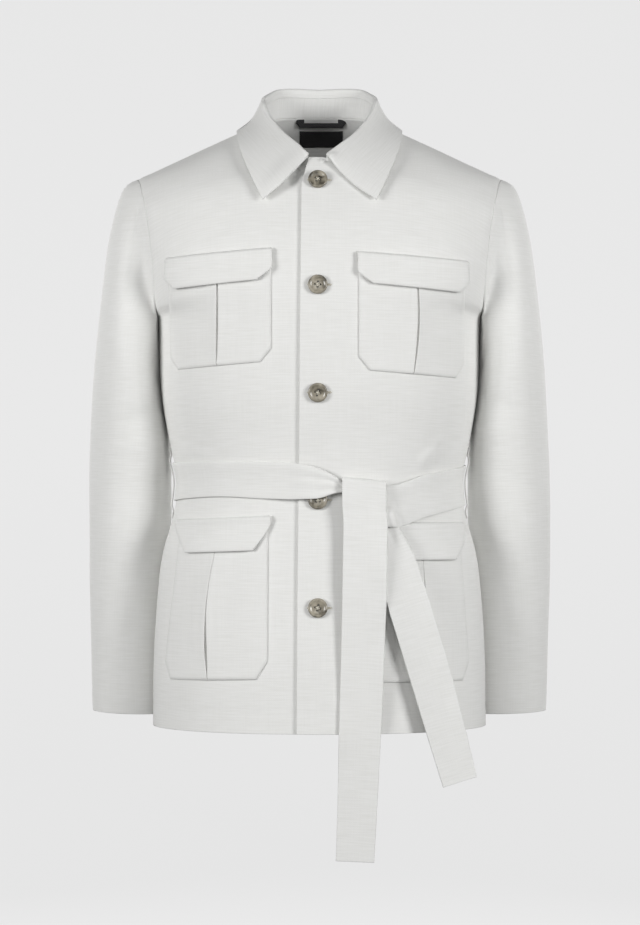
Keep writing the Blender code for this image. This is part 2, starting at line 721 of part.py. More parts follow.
class Body:
    """The back, the two fronts and the sleeves, which share their seams."""

    def __init__(self):
        self.columns = len(FRONT_SHARES)
        self.back_columns = len(BACK_SHARES)
        self.low = len(BODY_ROWS)
        self.rows = self.low + len(ARMHOLE_ROWS)
        self.front, self.front_faces = front_grid(1)
        self.under_front, self.under_faces = front_grid(-1)
        self.back, self.back_faces = back_grid()
        self.front_normals = point_normals(self.front, self.front_faces)
        self.under_normals = point_normals(self.under_front, self.under_faces)
        self.back_normals = -point_normals(self.back, self.back_faces)
        self.under = Under()
        self.join_side_seam()
        self.join_armhole()

    def front_index(self, row, column):
        """The place of a front's point in its list."""
        return row * self.columns + column % self.columns

    def back_index(self, row, column):
        """The place of a back's point in its list."""
        return row * self.back_columns + column % self.back_columns

    def join_side_seam(self):
        """Give the front and the back the same outward direction along the side seam."""
        for row in range(self.low):
            front = self.front_index(row, -1)
            back = self.back_index(row, -1)
            shared = unit(self.front_normals[front] + self.back_normals[back])
            self.front_normals[front] = shared
            self.under_normals[front] = shared
            self.back_normals[back] = shared

    def join_armhole(self):
        """Work out the armhole seam and the sleeve that hangs from it."""
        front_ring = [self.front_index(row, -1) for row in range(self.low, self.rows)]
        back_ring = [self.back_index(row, -1) for row in range(self.rows - 2, self.low, -1)]
        edge = np.array([*self.front[front_ring], *self.back[back_ring]])
        normals = np.array([*self.front_normals[front_ring], *self.back_normals[back_ring]])
        inboard = np.array(
            [*(self.front[k - 1] for k in front_ring), *(self.back[k - 1] for k in back_ring)]
        )
        inboard[0] = self.front[self.front_index(self.low - 1, -1)]
        self.rings = sleeve_rings(edge)
        tube = np.array(self.rings).reshape(-1, 3)
        self.sleeve_faces = grid_faces(len(self.rings), len(edge), closed=True)
        self.sleeve_normals = point_normals(tube, self.sleeve_faces)
        half = len(self.rings) // 2
        ring = self.rings[half]
        if np.dot(self.sleeve_normals[half * len(edge)], ring[0] - ring.mean(axis=0)) < 0:
            self.sleeve_normals = -self.sleeve_normals
        ways = np.array([unit(a - b) for a, b in zip(inboard, edge)])
        sleeve_ways = np.array([unit(a - b) for a, b in zip(self.rings[1], edge)])
        outward, across = seam_directions(
            edge, normals, ways, self.sleeve_normals[: len(edge)], sleeve_ways
        )
        outward[0] = np.array((0.0, 0.0, -1.0))
        across[0] = np.array((1.0, 0.0, 0.0))
        self.armhole = edge
        self.armhole_outward = outward
        self.armhole_across = across
        self.front_ring = front_ring
        self.back_ring = back_ring

    def panel_inner(self, points, normals, ring, first):
        """The inner face of a panel. Its armhole edge takes the seam's shared direction."""
        normals = normals.copy()
        for k, index in enumerate(ring):
            normals[index] = self.armhole_outward[first + k]
        return points - normals * CLOTH

    def add_fronts(self):
        """Both fronts as walls, the right one mirrored."""
        shoulder = unit(np.array((SHOULDER_SLOPE, 0.0, 1.0)))
        self.necklines = {}
        sets = (
            ("front_left", self.front, self.front_normals, self.front_faces, 1),
            ("front_right", self.under_front, self.under_normals, self.under_faces, -1),
        )
        for name, points, normals, faces, side in sets:
            outer = points.copy()
            normals = normals.copy()
            last = self.front_index(self.rows - 1, 0)
            for k in range(last, last + self.columns):
                normals[k] = shoulder
            inner = self.panel_inner(outer, normals, self.front_ring, 0)
            for grid in (outer, inner):
                for row in range(self.low + 1):
                    grid[self.front_index(row, -1)][1] -= SEAM_GAP / 2
                grid[last : last + self.columns, 1] -= SEAM_GAP / 2
            if side < 0:
                outer = outer * (-1, 1, 1)
                inner = inner * (-1, 1, 1)
            add_wall(name, outer, inner, faces)
            neck = [self.front_index(row, 0) for row in range(self.low + NECK_PLACE, self.rows)]
            self.necklines[side] = (outer[neck], inner[neck])
            self.under.add(outer, faces if side > 0 else [face[::-1] for face in faces])

    def add_back(self):
        """The whole back: the left half and its mirror, joined at the centre."""
        outer = self.back.copy()
        normals = self.back_normals.copy()
        shoulder = unit(np.array((SHOULDER_SLOPE, 0.0, 1.0)))
        neck_column = BACK_SHARES.index(BACK_NECK_SHARE)
        for column in range(neck_column, self.back_columns):
            normals[self.back_index(self.rows - 1, column)] = shoulder
        for row in range(self.rows):
            index = self.back_index(row, 0)
            normals[index] = unit(normals[index] * (0, 1, 1))
        # The back shares the underarm and the shoulder tip with the fronts.
        ring = [self.back_index(self.rows - 1, -1), *self.back_ring, self.back_index(self.low, -1)]
        shared = [len(ARMHOLE_ROWS) - 1 + k for k in range(len(ring) - 1)] + [0]
        for index, k in zip(ring, shared):
            normals[index] = self.armhole_outward[k]
        inner = outer - normals * CLOTH
        for grid in (outer, inner):
            for row in range(self.low + 1):
                grid[self.back_index(row, -1)][1] += SEAM_GAP / 2
            for column in range(neck_column, self.back_columns):
                grid[self.back_index(self.rows - 1, column)][1] += SEAM_GAP / 2
        count = len(outer)
        mirror = {}
        points = list(outer)
        inner_points = list(inner)
        for k in range(count):
            if k % self.back_columns == 0:
                mirror[k] = k
            else:
                mirror[k] = len(points)
                points.append(outer[k] * (-1, 1, 1))
                inner_points.append(inner[k] * (-1, 1, 1))
        half = [tuple(reversed(face)) for face in self.back_faces]
        other = [tuple(mirror[k] for k in face) for face in self.back_faces]
        add_wall("back", points, inner_points, [*half, *other])
        self.under.add(points, [*half, *other])
        self.inside = Under()
        self.inside.add(inner_points, [face[::-1] for face in (*half, *other)])
        last = self.back_index(self.rows - 1, 0)
        self.back_neck = (outer[last : last + neck_column], inner[last : last + neck_column])

    def add_sleeves(self):
        """Both sleeves as walls, the right one mirrored."""
        count = len(self.armhole)
        outer = np.array(self.rings).reshape(-1, 3)
        normals = self.sleeve_normals.copy()
        normals[:count] = self.armhole_outward
        inner = outer - normals * CLOTH
        for grid in (outer, inner):
            grid[:count] += self.armhole_across * SEAM_GAP
        for name, side in (("sleeve_left", 1), ("sleeve_right", -1)):
            add_wall(name, outer * (side, 1, 1), inner * (side, 1, 1), self.sleeve_faces)


# The collar


def neck_chain(body):
    """The neck seam from the left front round the back: its outer and inner edges."""
    left_outer, left_inner = body.necklines[1]
    right_outer, right_inner = body.necklines[-1]
    back_outer, back_inner = body.back_neck
    mirror = np.array((-1, 1, 1))
    outer = [*left_outer, *back_outer[:0:-1], *(back_outer * mirror), *right_outer[::-1]]
    inner = [*left_inner, *back_inner[:0:-1], *(back_inner * mirror), *right_inner[::-1]]
    outer, inner = clip_chain(outer, inner, COLLAR_END_LEFT)
    outer, inner = clip_chain(outer[::-1], inner[::-1], COLLAR_END_RIGHT)
    return np.array(outer[::-1]), np.array(inner[::-1])


def clip_chain(outer, inner, reach):
    """A seam's two edges without their first stretch, up to a distance from the centre."""
    first = 0
    while abs(outer[first + 1][0]) < reach + COLLAR_END_STEP:
        first += 1
    span = abs(outer[first + 1][0]) - abs(outer[first][0])
    share = (reach - abs(outer[first][0])) / span
    clipped = []
    for chain in (outer, inner):
        end = chain[first] + (chain[first + 1] - chain[first]) * share
        clipped.append([end, *chain[first + 1 :]])
    return clipped


def collar_guides(share, side):
    """The roll, the rim, the bulge and the bow of the collar at a share of the neck seam."""
    values = smooth_table(COLLAR_SECTIONS, share)
    roll = values[0:3].copy()
    edge = values[3:6].copy()
    if side < 0:
        wider = smooth_step((share - RIGHT_END_FROM) / (1 - RIGHT_END_FROM))
        roll += np.array(RIGHT_END_SHIFT) * wider
    return roll * (side, 1, 1), edge * (side, 1, 1), values[6], values[7]


def fall_curve(start, down, mid, edge):
    """Points of the collar's fall, from the roll's outer side to the rim."""
    guides = [(place, *point) for place, point in enumerate((start - down, start, mid, edge))]
    return [smooth_guides(guides, 1 + 2 * share) for share in FALL_SHARES]


def add_collar(body):
    """The stand on the neck seam, and the collar that rises from it, rolls over and falls."""
    outer_seam, inner_seam = neck_chain(body)
    steps = np.linalg.norm(np.diff(outer_seam, axis=0), axis=1)
    way = np.concatenate(([0.0], np.cumsum(steps)))
    middle = len(outer_seam) // 2
    stand_outer = []
    stand_inner = []
    collar = []
    below = []
    for k, seam in enumerate(outer_seam):
        side = 1 if k <= middle else -1
        half = way[middle] if side > 0 else way[-1] - way[middle]
        share = abs(way[k] - way[middle]) / half
        roll, edge, bulge, bow = collar_guides(share, side)
        before = outer_seam[max(k - 1, 0)]
        after = outer_seam[min(k + 1, len(outer_seam) - 1)]
        tangent = unit(after - before)
        across = unit(np.cross(tangent, seam - inner_seam[k]))
        if across[2] < 0:
            across = -across
        low_outer = seam + across * SEAM_GAP
        low_inner = inner_seam[k] + across * SEAM_GAP
        rise = roll - low_inner
        height = np.linalg.norm(rise)
        up = rise / height
        outward = unit(np.cross(tangent, up))
        if np.dot(outward, np.array((seam[0], seam[1], 0.0))) < 0:
            outward = -outward
        join = roll - up * min(STAND_TOP_BELOW_ROLL, height * STAND_LEAST_SHARE)
        top_inner = join - up * SEAM_GAP
        top_outer = top_inner + outward * CLOTH
        stand_outer.append([low_outer * (1 - s) + top_outer * s for s in (0.0, 0.5, 1.0)])
        stand_inner.append([low_inner * (1 - s) + top_inner * s for s in (0.0, 0.5, 1.0)])
        centre = roll - up * ROLL_RADIUS * ROLL_SINK + outward * ROLL_RADIUS
        face = [join]
        under_face = [join + outward * CLOTH]
        for angle in ROLL_ANGLES:
            turn = math.radians(angle)
            arm = up * math.sin(turn) - outward * math.cos(turn)
            face.append(centre + arm * ROLL_RADIUS)
            under_face.append(centre + arm * (ROLL_RADIUS - CLOTH))
        start = face[-1]
        swell = unit(np.cross(tangent, edge - start))
        if np.dot(swell, outward) < 0:
            swell = -swell
        mid = (start + edge) / 2 + swell * bulge - np.array((0.0, 0.0, bow))
        fall = fall_curve(start, -up * FALL_LEAD, mid, edge)
        collar.append([*face, *fall])
        below.append([*under_face, *fall])
    columns = len(collar[0])
    rolled = 1 + len(ROLL_ANGLES)
    faces = grid_faces(len(collar), columns)
    outer = np.array(collar).reshape(-1, 3)
    inner = np.array(below).reshape(-1, 3)
    normals = point_normals(outer, faces)
    if normals[middle * columns + columns - 2][1] < 0:
        normals = -normals
        faces = [face[::-1] for face in faces]
    for k in range(len(outer)):
        if k % columns >= rolled:
            inner[k] = outer[k] - normals[k] * CLOTH
    held = [k for k in range(len(outer)) if k % columns < rolled]
    falls = [face for face in faces if min(k % columns for k in face) >= rolled]
    inner, outer = settle(inner, outer, falls, body.under, LAY_GAP, held)
    add_wall("collar", outer, inner, faces)
    add_wall(
        "collar_stand",
        np.array(stand_outer).reshape(-1, 3),
        np.array(stand_inner).reshape(-1, 3),
        grid_faces(len(stand_outer), 3),
    )


def smooth_guides(guides, at):
    """A point on the smooth curve through guide points, at a place counted along them."""
    rows = np.array(guides, dtype=float)[:, 1:]
    last = len(rows) - 1
    i = min(int(at), last - 1)
    s = at - i
    before = rows[max(i - 1, 0)]
    after = rows[min(i + 2, last)]
    start = (rows[i + 1] - before) / 2
    end = (after - rows[i]) / 2
    blend = s * s * (3 - 2 * s)
    return (
        rows[i] * (1 - blend)
        + rows[i + 1] * blend
        + start * s * (1 - s) ** 2
        - end * s * s * (1 - s)
    )


# Pockets and flaps


def on_front(side, x, z, stand):
    """A point at a stand-off from a front, seen at a place. The right front lies mirrored."""
    point, normal = front_spot(x, z)
    if side < 0:
        point = point - normal * lap_drop(x)
    return (point + normal * stand) * (side, 1, 1)


def add_patch(name, face, back, columns, side, under):
    """A wall that lies on a front, from the points of its two faces, row after row."""
    faces = grid_faces(len(face) // columns, columns)
    if side > 0:
        faces = [quad[::-1] for quad in faces]
    back, face = settle(np.array(back), np.array(face), faces, under, LAY_GAP)
    add_wall(name, face, back, faces)
    under.add(face, faces)


def add_pocket(name, values, under):
    """A patch pocket whose two halves meet at an open pleat."""
    side, inner, outer, outer_end, top, fall, height, slit, slit_end, sway = values
    face = []
    back = []
    for down in POCKET_ROWS:
        corner = POCKET_CORNER_WIDTH * max((down - POCKET_ROWS[-2]) / (1 - POCKET_ROWS[-2]), 0.0)
        near = inner + corner
        far = outer + (outer_end - outer) * down - corner * OUTER_CORNER_SHARE
        middle = slit + (slit_end - slit) * down + sway * math.sin(math.pi * down)
        bend = max(math.sin(math.pi * down), 0.0)
        open_width = SLIT_END_HALF_WIDTH + SLIT_HALF_WIDTH * bend**SLIT_CURVE
        lift = PLEAT_LIFT * math.sin(math.pi * (PLEAT_END + (1 - 2 * PLEAT_END) * down))
        plain = middle + PLEAT_HALF_WIDTH * 2
        columns = (
            (near, 0.0, -POCKET_RIM_DROP),
            (near + (middle - near) * 0.35, 0.0, 0.0),
            (middle - PLEAT_HALF_WIDTH, PLEAT_SHOULDER, 0.0),
            (middle - open_width, 1.0, 0.0),
            (middle, 0.0, SLIT_FLOOR - PATCH_STAND),
            (middle + open_width, 1.0, 0.0),
            (middle + PLEAT_HALF_WIDTH, PLEAT_SHOULDER, 0.0),
            (plain, 0.0, 0.0),
            (plain + (far - plain) * 0.4, 0.0, 0.0),
            (plain + (far - plain) * 0.75, 0.0, 0.0),
            (far, 0.0, -POCKET_RIM_DROP),
        )
        for x, pleat, extra in columns:
            z = top - fall * (x - inner) / (outer - inner) - height * down
            face.append(on_front(side, x, z, PATCH_STAND + lift * pleat + extra))
            back.append(on_front(side, x, z, LAY_GAP))
    add_patch(name, face, back, len(columns), side, under)


def add_flap(name, values, under):
    """A pocket flap: sewn down along its top, rolled over there, standing off below."""
    side, inner, outer, top, fall, height, corner_width, corner_height = values
    corner_start = 1 - corner_height / height
    face = []
    back = []
    for down, back_stand, face_stand in FLAP_SECTION:
        cut = max((down - corner_start) / (1 - corner_start), 0.0) ** FLAP_CORNER_CURVE
        near = inner + corner_width * cut
        far = outer - corner_width * cut * OUTER_CORNER_SHARE
        for share in FLAP_COLUMN_SHARES:
            x = near + (far - near) * share
            z = top - fall * (x - inner) / (outer - inner) - height * down
            face.append(on_front(side, x, z, face_stand))
            back.append(on_front(side, x, z, back_stand))
    add_patch(name, face, back, len(FLAP_COLUMN_SHARES), side, under)


# Buttons


def button_heights():
    """The heights of the five buttons, from the top."""
    return [TOP_BUTTON_HEIGHT - BUTTON_SPACING * k for k in range(BUTTON_COUNT)]


def add_buttons(under):
    """Dished horn buttons on the left front, square to it."""
    for number, height in enumerate(button_heights(), start=1):
        place, normal = front_spot(abs(BUTTON_X), height)
        place = place * (-1, 1, 1)
        outward = unit(normal * (0, 1, 1))
        right = np.array((1.0, 0.0, 0.0))
        up = np.cross(outward, right)
        points = []
        for radius, rise in BUTTON_PROFILE:
            for k in range(BUTTON_SIDES):
                angle = 2 * math.pi * k / BUTTON_SIDES
                arm = right * math.cos(angle) + up * math.sin(angle)
                points.append(place + arm * radius + outward * (LAY_GAP + rise))
        rings = len(BUTTON_PROFILE)
        faces = grid_faces(rings, BUTTON_SIDES, closed=True)
        back_middle = len(points)
        points.append(place + outward * LAY_GAP)
        front_middle = len(points)
        points.append(place + outward * (LAY_GAP + BUTTON_PROFILE[-1][1]))
        first = (rings - 1) * BUTTON_SIDES
        caps = []
        for k in range(BUTTON_SIDES):
            after = (k + 1) % BUTTON_SIDES
            caps.append((back_middle, after, k))
            caps.append((front_middle, first + k, first + after))
        add_object(f"button_{number}", points, [*faces, *caps], "horn")
        under.add(points, [*faces, *caps])


# The belt


def waist_spot(turn, z):
    """The jacket's outer point and normal round the waist, at a turn and a height."""
    row = solve(lambda r: section_controls(FRONT_TABLE, r)[0][2], z, 0.0, UNDERARM_ROW)
    turn = turn % 1.0
    quarter = min(int(turn * 4), 3)
    share = turn * 4 - quarter
    t = share if quarter in (0, 2) else 1 - share
    controls = section_controls(BACK_TABLE if quarter in (1, 2) else FRONT_TABLE, row)
    point = bezier(controls, t)
    ahead = bezier(controls, min(t + 1e-3, 1.0)) - bezier(controls, max(t - 1e-3, 0.0))
    flat = unit(np.array((ahead[1], -ahead[0], 0.0)))
    if np.dot(flat[:2], point[:2]) < 0:
        flat = -flat
    side = -1 if turn < 0.5 else 1
    return point * (side, 1, 1), flat * (side, 1, 1)


def belt_turns():
    """The turns of the belt's columns, closer together near the knot."""
    first = BELT_STRETCHES[0][0]
    last = BELT_STRETCHES[-1][0]
    turns = []
    for k in range(BELT_STEPS + 1):
        s = k / BELT_STEPS
        turns.append(first + (last - first) * (s - math.sin(2 * math.pi * s) * BELT_CROWDING))
    return turns


def add_belt(under):
    """The belt's band, from the knot round the waist and back to it."""
    spots = []
    stands = []
    for turn in belt_turns():
        centre, width, stand = smooth_table(BELT_STRETCHES, turn)
        for share in BELT_ACROSS:
            point, outward = waist_spot(turn, centre + width * share)
            spots.append((point, outward))
            stands.append(stand)
    inner = []
    outer = []
    for (point, outward), stand in zip(spots, stands):
        inner.append(point + outward * stand)
        outer.append(point + outward * (stand + BELT_CLOTH))
    faces = grid_faces(len(spots) // len(BELT_ACROSS), len(BELT_ACROSS))
    inner, outer = settle(np.array(inner), np.array(outer), faces, under, LAY_GAP)
    add_wall("belt", outer, inner, faces)
    under.add(outer, faces)


def drape(least, free_top):
    """Depths of a hanging strip: taut over what it lies on, and straight down below it."""
    depths = least.copy()
    open_spots = np.isinf(depths)
    depths[open_spots] = free_top
    for _ in range(TAIL_ROUNDS):
        for i in range(1, len(depths)):
            above = depths[i - 1]
            below = depths[i + 1] if i + 1 < len(depths) else above
            mean = (above + below) / 2
            sides = (np.roll(mean, 1) + np.roll(mean, -1)) / 2
            sides[0] = mean[0]
            sides[-1] = mean[-1]
            mean = mean * (1 - TAIL_SIDE_PULL) + sides * TAIL_SIDE_PULL
            depths[i] = np.where(np.isinf(least[i]), mean, np.minimum(least[i], mean))
    return depths


def strip_spots(rows):
    """Places across a hanging strip, and the strip's direction, from its centre line."""
    centres = np.array([(x, z) for z, x, _ in rows])
    spots = []
    for k, (_, _, width) in enumerate(rows):
        ahead = centres[min(k + 1, len(rows) - 1)] - centres[max(k - 1, 0)]
        length = math.hypot(ahead[0], ahead[1])
        across = np.array((-ahead[1], ahead[0])) / length
        for j in range(TAIL_COLUMNS):
            share = j / (TAIL_COLUMNS - 1) - 0.5
            spots.append(centres[k] + across * width * share)
    return spots


def add_strip(name, rows, under, gap, start=()):
    """A belt end that hangs over what lies below it. Start holds rows already placed."""
    spots = strip_spots(rows)
    half = BELT_CLOTH / 2
    least = []
    for x, z in spots:
        depth = under.front_depth(x, z)
        least.append(math.inf if depth is None else depth - half - gap)
    least = np.array(least).reshape(-1, TAIL_COLUMNS)
    if len(start):
        tops = np.array(start)[-TAIL_COLUMNS:, 1]
        depths = drape(np.vstack((tops, least)), tops.mean())[1:]
    else:
        depths = drape(least, least[0].min())
    middle = [*start]
    for (x, z), y in zip(spots, depths.reshape(-1)):
        middle.append(np.array((x, y, z)))
    middle = np.array(middle)
    count = len(middle) // TAIL_COLUMNS
    faces = grid_faces(count, TAIL_COLUMNS)
    normals = point_normals(middle, faces)
    if normals[-1][1] > 0:
        normals = -normals
    inner, outer = middle - normals * half, middle + normals * half
    hanging = faces
    if len(start):
        hanging = [face for face in faces if min(face) // TAIL_COLUMNS >= KNOT_FRONT_ROW]
    inner, outer = settle(inner, outer, hanging, under, LAY_GAP)
    add_wall(name, outer, inner, faces)
    under.add(outer, [face[::-1] for face in faces])


def add_tail_side(under):
    """The belt's side end, from under the belt down across the hip pocket."""
    add_strip("belt_tail_side", TAIL_SIDE, under, LAY_GAP)


def add_tail_front(under):
    """The belt's front end: up behind the knot, folded over it and straight down."""
    start = []
    for stand, height in KNOT_FOLD:
        for j in range(TAIL_COLUMNS):
            share = j / (TAIL_COLUMNS - 1) - 0.5
            x = KNOT_X + KNOT_WIDTH * share
            z = height - KNOT_SLOPE * KNOT_WIDTH * share
            point, _ = front_spot(x, z)
            start.append(np.array((x, point[1] - stand, z)))
    add_strip("belt_tail_front", TAIL_FRONT, under, LAY_GAP, start)


def add_belt_loops():
    """A narrow loop over the belt at each side seam."""
    for name, turn in (("belt_loop_right", 0.25), ("belt_loop_left", 0.75)):
        middle = []
        for height, stand in LOOP_PATH:
            point, outward = waist_spot(turn, height)
            for share in (-0.5, 0.5):
                middle.append(point + outward * stand + np.array((0.0, LOOP_WIDTH * share, 0.0)))
        middle = np.array(middle)
        faces = grid_faces(len(LOOP_PATH), 2)
        normals = point_normals(middle, faces)
        normals = normals * np.sign(normals[8][0] * middle[8][0])
        half = LOOP_CLOTH / 2
        add_wall(name, middle + normals * half, middle - normals * half, faces)


# Inside the neck


def inside_depth(body, x, z):
    """The depth of the back's inner face at a place near the neck, seen from the front."""
    start = Vector((x, 0.0, z))
    return body.inside.tree.ray_cast(start, Vector((0.0, 1.0, 0.0)), 200.0)[0].y


def add_hanger_loop(body):
    """A flat tape sewn under the back neck seam at its two ends, open above its bar."""
    depth = inside_depth(body, LABEL_X + TAPE_OUTER, TAPE_TOP) - LAY_GAP
    xs = (-TAPE_OUTER, -TAPE_INNER, -TAPE_INNER / 2, 0.0, TAPE_INNER / 2, TAPE_INNER, TAPE_OUTER)
    columns = len(xs)
    points = []
    for z, corner in ((TAPE_BOTTOM, TAPE_CORNER), (TAPE_BAR_TOP, 0.0), (TAPE_TOP, 0.0)):
        for x in xs:
            cut = corner * (x / TAPE_OUTER) if abs(x) == TAPE_OUTER else 0.0
            points.append(np.array((x - cut + LABEL_X, depth, z)))
    faces = [(k, k + 1, k + 1 + columns, k + columns) for k in range(columns - 1)]
    for k in (columns, 2 * columns - 2):
        faces.append((k, k + 1, k + 1 + columns, k + columns))
    used = sorted({k for face in faces for k in face})
    place = {k: number for number, k in enumerate(used)}
    behind = np.array([points[k] for k in used])
    faces = [tuple(place[k] for k in face) for face in faces]
    add_wall("hanger_loop", behind - np.array((0.0, TAPE_CLOTH, 0.0)), behind, faces, "tape")


def add_neck_label(body):
    """A plain woven label below the loop."""
    behind = []
    for z in (LABEL_BOTTOM, (LABEL_BOTTOM + LABEL_TOP) / 2, LABEL_TOP):
        for k in range(LABEL_STEPS + 1):
            x = LABEL_X + LABEL_WIDTH * (k / LABEL_STEPS - 0.5)
            behind.append(np.array((x, inside_depth(body, x, z) - LAY_GAP, z)))
    behind = np.array(behind)
    face = behind - np.array((0.0, LABEL_CLOTH, 0.0))
    faces = grid_faces(3, LABEL_STEPS + 1)
    behind, face = settle(behind, face, faces, body.inside, LAY_GAP)
    add_wall("neck_label", face, behind, faces, "tape")


def clear_scene():
    """Take away whatever the scene holds."""
    for item in list(bpy.data.objects):
        bpy.data.objects.remove(item, do_unlink=True)


def main():
    """Build every piece, each one on top of those it lies on."""
    clear_scene()
    body = Body()
    body.add_back()
    body.add_fronts()
    body.add_sleeves()
    add_collar(body)
    under = body.under
    for name, values in POCKETS.items():
        add_pocket(name, values, under)
    for name, values in FLAPS.items():
        add_flap(name, values, under)
    add_buttons(under)
    add_tail_side(under)
    add_belt(under)
    add_tail_front(under)
    add_belt_loops()
    add_hanger_loop(body)
    add_neck_label(body)


main()
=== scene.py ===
"""A linen safari jacket, filled out as it is worn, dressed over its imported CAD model.

Lengths are in millimetres until a mesh is made, which is in metres. The jacket faces -Y, its
wearer's left is +X and up is +Z, with the origin between the neck's side points.
"""
import logging
import math
from dataclasses import dataclass
from enum import Enum

import bpy
import numpy as np
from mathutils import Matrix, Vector
from mathutils.bvhtree import BVHTree


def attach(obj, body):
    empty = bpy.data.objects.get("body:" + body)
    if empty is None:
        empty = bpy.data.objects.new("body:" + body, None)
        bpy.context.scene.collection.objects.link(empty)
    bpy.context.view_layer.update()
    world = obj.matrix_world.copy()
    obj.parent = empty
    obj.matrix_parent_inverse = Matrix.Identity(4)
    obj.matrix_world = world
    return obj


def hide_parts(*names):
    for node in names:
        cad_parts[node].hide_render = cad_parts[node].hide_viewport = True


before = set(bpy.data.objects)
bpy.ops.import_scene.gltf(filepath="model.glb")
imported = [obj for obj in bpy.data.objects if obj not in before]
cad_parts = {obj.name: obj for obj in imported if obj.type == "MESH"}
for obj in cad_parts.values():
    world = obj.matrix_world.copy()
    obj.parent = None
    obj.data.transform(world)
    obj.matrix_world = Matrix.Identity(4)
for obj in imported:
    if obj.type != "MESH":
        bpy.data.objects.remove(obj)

LOG = logging.getLogger("safari_jacket")
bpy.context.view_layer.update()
MM = 0.001
# The cloth's thickness, and how far clear one piece of it lies on another.
CLOTH = 2.0
LAY_GAP = 0.5
# How far apart a panel's grid lines lie, and how far inside a rim the last but one does.
LENGTH_STEP = 4.2
RIM = 0.9
# How far in from a patch's rim it is rounded off.
RIM_ROUND = 1.9
# The line of stitches that holds a turned-up hem: how deep and how wide it shows.
HEM_LINE_DEPTH = 0.35
HEM_LINE_WIDTH = 2.5
# How wide the groove at a seam is.
SEAM_WIDTH = 2.2


class Side(Enum):
    """A side of the jacket, as its wearer has it."""

    LEFT = 1
    RIGHT = -1


class Slot(Enum):
    """The record's material slots."""

    LINEN = "linen"
    HORN = "horn"
    TAPE = "tape"


class Held(Enum):
    """How a piece of cloth is held."""

    WORN = "draped"
    HANGING = "hung"
    GATHERED = "gathered"
    SEWN_DOWN = "laid"
    FOLDED = "folded"


# Curves and grids


def spline_rows(table: np.ndarray, at: np.ndarray) -> np.ndarray:
    """Read a table on a smooth curve through its rows that never runs past them.

    Args:
        table: Rows of numbers, with the key that they are read by in front.
        at: The keys to read it at.

    Returns:
        One row of values for each key.
    """
    table = np.asarray(table, dtype=float)
    keys, values = table[:, 0], table[:, 1:]
    at = np.clip(np.atleast_1d(np.asarray(at, dtype=float)), keys[0], keys[-1])
    rise = np.diff(values, axis=0)
    slopes = np.empty_like(values)
    slopes[0] = rise[0] / (keys[1] - keys[0])
    slopes[-1] = rise[-1] / (keys[-1] - keys[-2])
    mean = (values[2:] - values[:-2]) / (keys[2:] - keys[:-2])[:, None]
    slopes[1:-1] = np.where(rise[:-1] * rise[1:] > 0, mean, 0.0)
    i = np.clip(np.searchsorted(keys, at, side="right") - 1, 0, len(keys) - 2)
    span = (keys[i + 1] - keys[i])[:, None]
    s = (at - keys[i])[:, None] / span
    blend = s * s * (3 - 2 * s)
    return (
        values[i] * (1 - blend)
        + values[i + 1] * blend
        + slopes[i] * span * s * (1 - s) ** 2
        - slopes[i + 1] * span * s * s * (1 - s)
    )


def soft_step(value: np.ndarray) -> np.ndarray:
    """0 below 0, 1 above 1, and a soft rise between them."""
    s = np.clip(value, 0.0, 1.0)
    return s * s * (3 - 2 * s)


def ridge(distance: np.ndarray, at: float, width: float) -> np.ndarray:
    """A soft ridge, 1 high, where a distance has a value."""
    return np.exp(-(((distance - at) / width) ** 2))


def unit(vectors: np.ndarray) -> np.ndarray:
    """The vectors at length one."""
    return vectors / np.maximum(np.linalg.norm(vectors, axis=-1, keepdims=True), 1e-9)


def bezier(controls: np.ndarray, t: np.ndarray) -> np.ndarray:
    """Find points on cubic curves.

    Args:
        controls: Four control points for each point wanted.
        t: The share of the way along each curve.

    Returns:
        The points.
    """
    t = t[:, None]
    r = 1 - t
    a, b, c, d = (controls[:, k] for k in range(4))
    return a * r**3 + b * (3 * r * r * t) + c * (3 * r * t * t) + d * t**3


def evenly(keys: np.ndarray, way: np.ndarray, step: float) -> np.ndarray:
    """Choose keys so that the grid's lines lie evenly, with one more just inside each rim.

    Args:
        keys: Keys in rising order.
        way: The length along the cloth at each key.
        step: The distance wanted between lines.

    Returns:
        The chosen keys, the ends among them.
    """
    count = max(int(round((way[-1] - way[0]) / step)), 4)
    places = np.linspace(way[0], way[-1], count + 1)
    inside = [places[0], places[0] + RIM, *places[1:-1], places[-1] - RIM, places[-1]]
    return np.interp(inside, way, keys)


def lengths(points: np.ndarray) -> np.ndarray:
    """The length along a line of points, at each of them."""
    steps = np.linalg.norm(np.diff(points, axis=0), axis=-1)
    return np.concatenate(([0.0], np.cumsum(steps)))


def grid_normals(grid: np.ndarray, closed: bool = False) -> np.ndarray:
    """Find a grid's normals from its neighbours.

    Args:
        grid: Rows of points.
        closed: Whether each row's end meets its start.

    Returns:
        One unit vector for each point.
    """
    down = np.gradient(grid, axis=0)
    if closed:
        across = np.roll(grid, -1, axis=1) - np.roll(grid, 1, axis=1)
    else:
        across = np.gradient(grid, axis=1)
    return unit(np.cross(down, across))


def facing(normals: np.ndarray, outward: np.ndarray) -> np.ndarray:
    """The normals, turned so that most of them point outward."""
    return normals if np.sum(normals * outward) > 0 else -normals


def each_facing(normals: np.ndarray, outward: tuple) -> np.ndarray:
    """The normals, with each one turned to point outward."""
    return np.where((np.sum(normals * outward, axis=1) < 0)[:, None], -normals, normals)


def soften(values: np.ndarray) -> np.ndarray:
    """Spread each push to its neighbours, so that cloth stays smooth.

    Args:
        values: A grid of pushes.

    Returns:
        The softened grid, nowhere below what it was.
    """
    for blend in (np.max, np.max, np.mean, np.mean):
        padded = np.pad(values, 1, mode="edge")
        windows = [
            padded[i : i + values.shape[0], j : j + values.shape[1]]
            for i in range(3)
            for j in range(3)
        ]
        values = blend(windows, axis=0)
    return values


